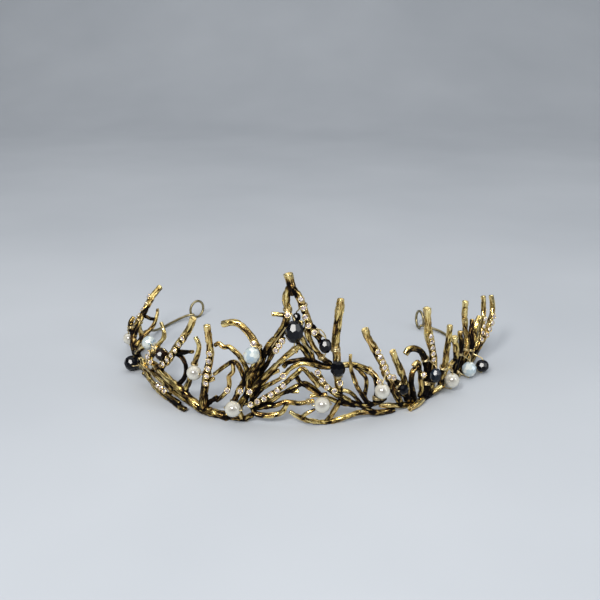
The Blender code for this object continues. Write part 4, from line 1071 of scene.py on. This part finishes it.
def strand(bead, sign, lean, lift, back):
    """Wire from a bead's middle out of its hole to a twig, and wrapped round it.

    It leaves by the hole that sign points to, and looks for a twig near a spot that lies lean mm
    along the ring, lift mm along the axle and back mm into the ring from the hole.
    """
    hole = bead.centre + bead.axle * sign * (bead.half + HOLE_LEAD * MM)
    want = hole + (bead.axle * sign * lift - bead.out * back + along(bead.centre) * lean) * MM
    middle, tangent, radius = nearest_twig(want, bead)
    tangent = tangent if tangent.dot(hole - middle) < 0 else -tangent
    first = hole - middle
    first = unit(first - tangent * first.dot(tangent))
    second = np.cross(tangent, first)
    coil = []
    for k in range(round(WRAP_TURNS * WRAP_STEPS) + 1):
        turn = 2 * math.pi * k / WRAP_STEPS + 0.5
        coil.append(middle + tangent * WRAP_PITCH * MM * k / WRAP_STEPS
                    + (radius + 0.8 * BINDING_RADIUS * MM) * (math.cos(turn) * first
                                                             + math.sin(turn) * second))
    lead = clear_of_bead(np.array([hole * 0.45 + coil[0] * 0.55 + bead.out * 0.5 * MM]), bead)
    line, _, _ = smooth_line([bead.centre, hole, lead[0]] + coil, BINDING_STEP * MM)
    line[:, 2] = np.maximum(line[:, 2], BINDING_RADIUS * MM)
    rise = (line - bead.centre) @ bead.axle
    width = np.linalg.norm(line - bead.centre - np.outer(rise, bead.axle), axis=1)
    in_bore = (np.abs(rise) < bead.half + 0.3 * MM) & (width < 0.4 * MM)
    return np.where(in_bore[:, None], line, clear_of_bead(line, bead))


def binding(bead, wire):
    """The wire that holds a bead: a strand from each end of its bore, two where it forks."""
    upright = abs(bead.axle[2]) > 0.99
    if upright and bead.kind != "black":
        wanted = [(-1, 0.0, 0.8, 2.2), (1, -2.4, 3.6, 2.2), (1, 2.4, 3.2, 2.2)]
    elif upright:
        wanted = [(-1, 0.0, 0.8, 2.2), (1, 0.0, 1.6, 2.2)]
    else:
        wanted = [(-1, 0.0, -1.0, 3.4), (1, 0.0, -1.0, 3.4)]
    node = bead.name.replace("bead_", "") + "_wire"
    lines = [strand(bead, *want) for want in wanted]
    lines += [smooth_line(places(controls), 0.25 * MM)[0]
              for name, controls in LOOSE_ENDS if name == node]
    parts = Parts()
    for line in lines:
        points, faces, grain = wire_surface(line, BINDING_RADIUS * MM, BINDING_SIDES)
        parts.add(points, faces, grain=grain)
    stand_for(node, parts.made(node + "_wrapped", [wire]))


# ---------------------------------------------------------------- beads
def mark_facets(mesh):
    """Gives each flat face a value from 0 to 1 that depends only on the way it faces."""
    layer = mesh.attributes.new("facet", "FLOAT", "FACE")
    for face, datum in zip(mesh.polygons, layer.data):
        mixed = face.normal.dot(Vector((127.1, 311.7, 74.7)))
        datum.value = (math.sin(round(mixed, 1)) * 43758.5453) % 1.0


def turned(outline, sides):
    """Points and faces of a closed outline of (radius, height) turned about Z."""
    turns = np.linspace(0, 2 * math.pi, sides, endpoint=False)
    points = [(r * math.cos(t), r * math.sin(t), h) for r, h in outline for t in turns]
    return points, [face[::-1] for face in tube_faces(len(outline), sides, closed=True)]


def pearl_mesh(bead):
    """A ball with dimpled ends round its bore, as rings turned about Z."""
    start = math.asin(BORE_RADIUS * MM / bead.radius)
    outline = []
    for turn in np.linspace(start, math.pi - start, PEARL_RINGS):
        from_hole = min(turn, math.pi - turn) - start
        dimple = DIMPLE_DEPTH * MM * math.exp(-(from_hole / DIMPLE_WIDTH) ** 2)
        outline.append((bead.radius * math.sin(turn), (bead.half - dimple) * math.cos(turn)))
    outline += [(BORE_RADIUS * MM, h) for h in np.linspace(-0.8, 0.8, 4) * bead.half]
    points, faces = turned(outline, PEARL_SIDES)
    mesh = bpy.data.meshes.new(bead.name)
    mesh.from_pydata(points, [], faces)
    mesh.polygons.foreach_set("use_smooth", [True] * len(mesh.polygons))
    return mesh


def flash(bead):
    """Turn and latitude, in the bead's own directions, of a facet that shows the window."""
    to_eye = unit(np.array(EYE_PLACE) - bead.centre)
    to_window = unit(np.array(LEFT_PANE) - bead.centre)
    facing = bead.matrix().to_3x3().inverted() @ Vector(to_eye + to_window).normalized()
    return math.atan2(facing.y, facing.x), math.degrees(math.asin(facing.z))


def cut_mesh(bead, belts):
    """A faceted bead: a block cut by the facet planes of an ellipsoid, belt by belt, and bored.

    It is turned on its axle, and its nearest belt tipped, so that one facet shows the window.
    """
    bm = bmesh.new()
    bmesh.ops.create_cube(bm, size=5 * max(bead.radius, bead.half))
    aim, height = flash(bead)
    if bead.name in TURNED_AWAY:
        aim += math.pi / belts[0][1]
    nearest = min(belts, key=lambda belt: abs(belt[0] - height))
    for belt in belts:
        latitude, count, shift = belt
        lean = math.radians(height if belt is nearest else latitude)
        for i in range(count):
            turn = aim + 2 * math.pi * (i + shift - nearest[2]) / count
            face = Vector((math.cos(turn) * math.cos(lean), math.sin(turn) * math.cos(lean),
                           math.sin(lean)))
            spot = Vector((face.x * bead.radius ** 2, face.y * bead.radius ** 2,
                           face.z * bead.half ** 2))
            spot /= math.hypot(math.cos(lean) * bead.radius, math.sin(lean) * bead.half)
            geometry = bm.verts[:] + bm.edges[:] + bm.faces[:]
            bmesh.ops.bisect_plane(bm, geom=geometry, plane_co=spot, plane_no=face,
                                   clear_outer=True, dist=1e-7)
            bmesh.ops.holes_fill(bm, edges=bm.edges[:], sides=0)
    bmesh.ops.recalc_face_normals(bm, faces=bm.faces)
    widest = max(Vector((v.co.x, v.co.y)).length for v in bm.verts)
    shrink = bead.radius / widest
    bmesh.ops.scale(bm, vec=(shrink, shrink, 1), verts=bm.verts)
    mesh = bpy.data.meshes.new(bead.name)
    bm.to_mesh(mesh)
    bm.clear()
    bmesh.ops.create_cone(bm, cap_ends=True, segments=16, radius1=BORE_RADIUS * MM,
                          radius2=BORE_RADIUS * MM, depth=4 * bead.half)
    drill_mesh = bpy.data.meshes.new("drill")
    bm.to_mesh(drill_mesh)
    bm.free()
    return bored(mesh, drill_mesh)


def bored(mesh, drill_mesh):
    """The first mesh less the second."""
    scene = bpy.context.scene.collection
    body = bpy.data.objects.new("body", mesh)
    drill = bpy.data.objects.new("drill", drill_mesh)
    scene.objects.link(body)
    scene.objects.link(drill)
    step = body.modifiers.new("Bore", "BOOLEAN")
    step.operation = "DIFFERENCE"
    step.solver = "EXACT"
    step.object = drill
    graph = bpy.context.evaluated_depsgraph_get()
    graph.update()
    made = bpy.data.meshes.new_from_object(body.evaluated_get(graph), depsgraph=graph)
    bpy.data.objects.remove(body)
    bpy.data.objects.remove(drill)
    return made


def strung_bead(bead, materials):
    """A bead on its wire, in its own glass if it has one or else in its kind's."""
    if bead.kind == "pearl":
        mesh = pearl_mesh(bead)
    else:
        mesh = cut_mesh(bead, CUTS[bead.kind])
        mark_facets(mesh)
    mesh.materials.clear()
    mesh.materials.append(materials.get(bead.name, materials[bead.kind]))
    made = bpy.data.objects.new(bead.name + "_strung", mesh)
    bpy.context.scene.collection.objects.link(made)
    made.matrix_world = bead.matrix()
    stand_for(bead.name, made, bead.name)


# ---------------------------------------------------------------- set rhinestones
def stone_shape(radius):
    """Points and faces of a brilliant: a girdle, crown facets and a table split into a star."""
    points = [(radius * math.cos(math.pi * k / 8), radius * math.sin(math.pi * k / 8), 0.0)
              for k in range(16)]
    points += [(0.60 * radius * math.cos(math.pi * (k + 0.5) / 4),
                0.60 * radius * math.sin(math.pi * (k + 0.5) / 4), 0.40 * radius)
               for k in range(8)]
    points.append((0.0, 0.0, 0.46 * radius))
    points.append((0.0, 0.0, -0.5 * radius))
    faces = []
    for k in range(8):
        left, mid, right = 2 * k, (2 * k + 1) % 16, (2 * k + 2) % 16
        table, following = 16 + k, 16 + (k + 1) % 8
        faces += [(left, mid, table), (mid, right, table), (right, following, table),
                  (table, following, 24), (mid, left, 25), (right, mid, 25)]
    return np.array(points), faces


def cup_shape(outer, inner):
    """Points, faces and relief of a stone's cup: rings from its rim down to its foot."""
    outline = [(inner, 0.10), (0.5 * (inner + outer), 0.20), (outer, 0.08), (0.97 * outer, -0.35),
               (0.80 * outer, -0.62), (0.3 * outer, -0.7), (0.3 * outer, -0.3), (inner, -0.1)]
    points, faces = turned(outline, CUP_SIDES)
    relief = np.repeat([0.8, 1.2, 0.7, -0.7, -0.9, -0.9, -0.9, 0.2], CUP_SIDES)
    return np.array(points), faces, relief


def prong_shape(outer):
    """Points and faces of small beads of metal raised over the rim."""
    points, faces = [], []
    for k in range(PRONGS):
        turn = 2 * math.pi * (k + 0.5) / PRONGS
        faces += tube_faces(4, PRONG_SIDES, len(points))
        for lift, width in ((-0.04, 0.15), (0.16, 0.21), (0.30, 0.16), (0.37, 0.05)):
            for j in range(PRONG_SIDES):
                spin = 2 * math.pi * j / PRONG_SIDES
                points.append((0.9 * outer * math.cos(turn) + width * math.cos(spin),
                               0.9 * outer * math.sin(turn) + width * math.sin(spin), lift))
    return np.array(points), faces


def stone_face(spot):
    """The way a stone at a spot looks: out of the ring, towards the front and up."""
    return outward(spot) * STONE_OUTWARD + np.array(STONE_FRONT)


def stone_frames(points, count):
    """Place and directions (ahead, side, face) of each stone of a row through some points."""
    line, _, reach = smooth_line(points, 0.4 * MM)
    tangents = np.gradient(line, axis=0)
    for i in range(count):
        want = reach[-1] * (i + 0.5) / count
        spot = np.array([np.interp(want, reach, line[:, k]) for k in range(3)])
        ahead = unit(np.array([np.interp(want, reach, tangents[:, k]) for k in range(3)]))
        face = stone_face(spot)
        face = unit(face - ahead * face.dot(ahead))
        yield spot, ahead, np.cross(face, ahead), face


def jewelled(name, places, gold, glass):
    """Stones in their cups at the given places, as one piece."""
    stone, stone_faces = stone_shape(STONE_RADIUS)
    cup, cup_faces, cup_relief = cup_shape(CUP_RADIUS, 0.93 * STONE_RADIUS)
    prongs, prong_faces = prong_shape(CUP_RADIUS)
    rng = np.random.default_rng(SEED + sum(map(ord, name)))
    parts, slots = Parts(), []
    for spot, ahead, side, face in places:
        turn = rng.uniform(0, math.pi)
        tilt = rng.uniform(-STONE_TILT, STONE_TILT, 2)
        basis = np.array([ahead * math.cos(turn) + side * math.sin(turn),
                          side * math.cos(turn) - ahead * math.sin(turn),
                          unit(face + ahead * tilt[0] + side * tilt[1])])
        shift = rng.uniform(-40, 40, 3)
        for shape, quads, slot, grade in ((stone, stone_faces, 1, np.zeros(len(stone))),
                                          (cup, cup_faces, 0, cup_relief),
                                          (prongs, prong_faces, 0, np.ones(len(prongs)))):
            parts.add(spot + shape @ basis * MM, quads, grain=shape + shift, relief=grade,
                      wear=np.full(len(shape), STONE_WEAR), crowd=np.zeros(len(shape)))
            slots += [slot] * len(quads)
    made = parts.made(name + "_set", [gold, glass], slots)
    mark_facets(made.data)
    made.data.polygons.foreach_set("use_smooth", [slot == 0 for slot in slots])
    return made


def lone_places():
    """Place and directions of each stone set apart from the rows."""
    for place in LONE_STONES:
        spot = at(*place)
        face = unit(stone_face(spot))
        ahead = unit(np.cross(face, along(spot)))
        yield spot, ahead, np.cross(face, ahead), face


def row_strands(gold):
    """The slim strands behind the rows of stones that stand off their shoots."""
    strands = [Twig(spec, SEED + i) for i, spec in enumerate(ROW_STRANDS)]
    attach(cast_twigs("row_strands", strands, gold), FRAME_BODY)


def spike_band(wire):
    """Loose turns of thin wire round the tall straight spike."""
    spike = TWIGS["right_centre_sprig"][0]
    k = int(np.abs(spike.line[:, 2] - BAND_HEIGHT * MM).argmin())
    loop = []
    for turns in np.arange(BAND_TURNS * BAND_STEPS + 1) / BAND_STEPS:
        turn = 2 * math.pi * turns
        loop.append(spike.line[k] + spike.tangents[k] * WRAP_PITCH * MM * (turns - 1)
                    + BAND_WIDTH * spike.radii[k] * (math.cos(turn) * spike.sides[k]
                                                     + math.sin(turn) * spike.ups[k]))
    line, _, _ = smooth_line(loop, 0.2 * MM)
    points, faces, grain = wire_surface(line, BINDING_RADIUS * MM, BINDING_SIDES)
    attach(make_object("spike_band", points, faces, {"grain": grain}, [wire]), FRAME_BODY)


# ---------------------------------------------------------------- stage
def stage_mesh():
    """A pale floor that sweeps up behind into a pale backdrop."""
    width, front, back, rise, sweep, drop = 3.0, -1.6, 1.3, 1.6, 0.6, 0.00003
    profile = [(front, 0.0), (back - sweep, 0.0)]
    profile += [(back - sweep + sweep * math.sin(t), sweep - sweep * math.cos(t))
                for t in np.linspace(0.1, math.pi / 2, 16)]
    profile.append((back, rise))
    points = [(x, y, z - drop) for y, z in profile for x in (-width, width)]
    faces = [(2 * i, 2 * i + 1, 2 * i + 3, 2 * i + 2) for i in range(len(profile) - 1)]
    made = make_object("stage_floor", points, faces, None, [floor_cloth()])


def area_light(name, place, size, watts, colour):
    light = bpy.data.lights.new(name, "AREA")
    light.shape = "RECTANGLE"
    light.size, light.size_y = size
    light.energy = watts
    light.color = colour
    lamp = bpy.data.objects.new(name, light)
    lamp.location = place
    lamp.rotation_euler = (Vector(LIGHTS_AIM) - Vector(place)).to_track_quat("-Z", "Y").to_euler()
    bpy.context.scene.collection.objects.link(lamp)


def room_light():
    world = bpy.data.worlds.new("room")
    bpy.context.scene.world = world
    world.use_nodes = True
    background = world.node_tree.nodes["Background"]
    background.inputs["Color"].default_value = ROOM_COLOUR
    background.inputs["Strength"].default_value = ROOM_STRENGTH


def camera():
    pitch, yaw = math.radians(EYE_PITCH), math.radians(EYE_YAW)
    level = Vector((-math.sin(yaw), math.cos(yaw), 0.0))
    lens = bpy.data.cameras.new("camera")
    lens.lens = LENS
    lens.sensor_width = SENSOR
    lens.clip_start = MM
    eye = bpy.data.objects.new("camera", lens)
    eye.location = EYE_PLACE
    forward = level * math.cos(pitch) - Vector((0, 0, math.sin(pitch)))
    eye.rotation_euler = forward.to_track_quat("-Z", "Y").to_euler()
    bpy.context.scene.collection.objects.link(eye)
    bpy.context.scene.camera = eye


# ---------------------------------------------------------------- assembly
def build():
    gold, wire, brass = antique_gold(), pale_wire(), aged_brass()
    glass = foiled_stone()
    beads = {"pearl": pearl_coat(), "opal": opal_glass()}
    for key, (name, tint) in TINTS.items():
        beads[key] = black_glass(name, tint)
    for name in SPRIGS:
        stand_for(name, cast_twigs(name + "_cast", TWIGS[name], gold))
    for name in END_WIRES:
        end_wire(name, brass)
    for bead in BEADS:
        strung_bead(bead, beads)
        binding(bead, wire)
    for name, (count, controls) in ROWS.items():
        points = places(controls, *ROW_MOVES.get(name, (0.0, 0.0)))
        stand_for(name, jewelled(name, stone_frames(points, count), gold, glass))
    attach(jewelled("lone_stones", lone_places(), gold, glass), FRAME_BODY)
    row_strands(gold)
    spike_band(wire)


build()
stage_mesh()
for settings in LIGHTS:
    area_light(*settings)
room_light()
camera()
bpy.context.scene.view_settings.view_transform = "Standard"
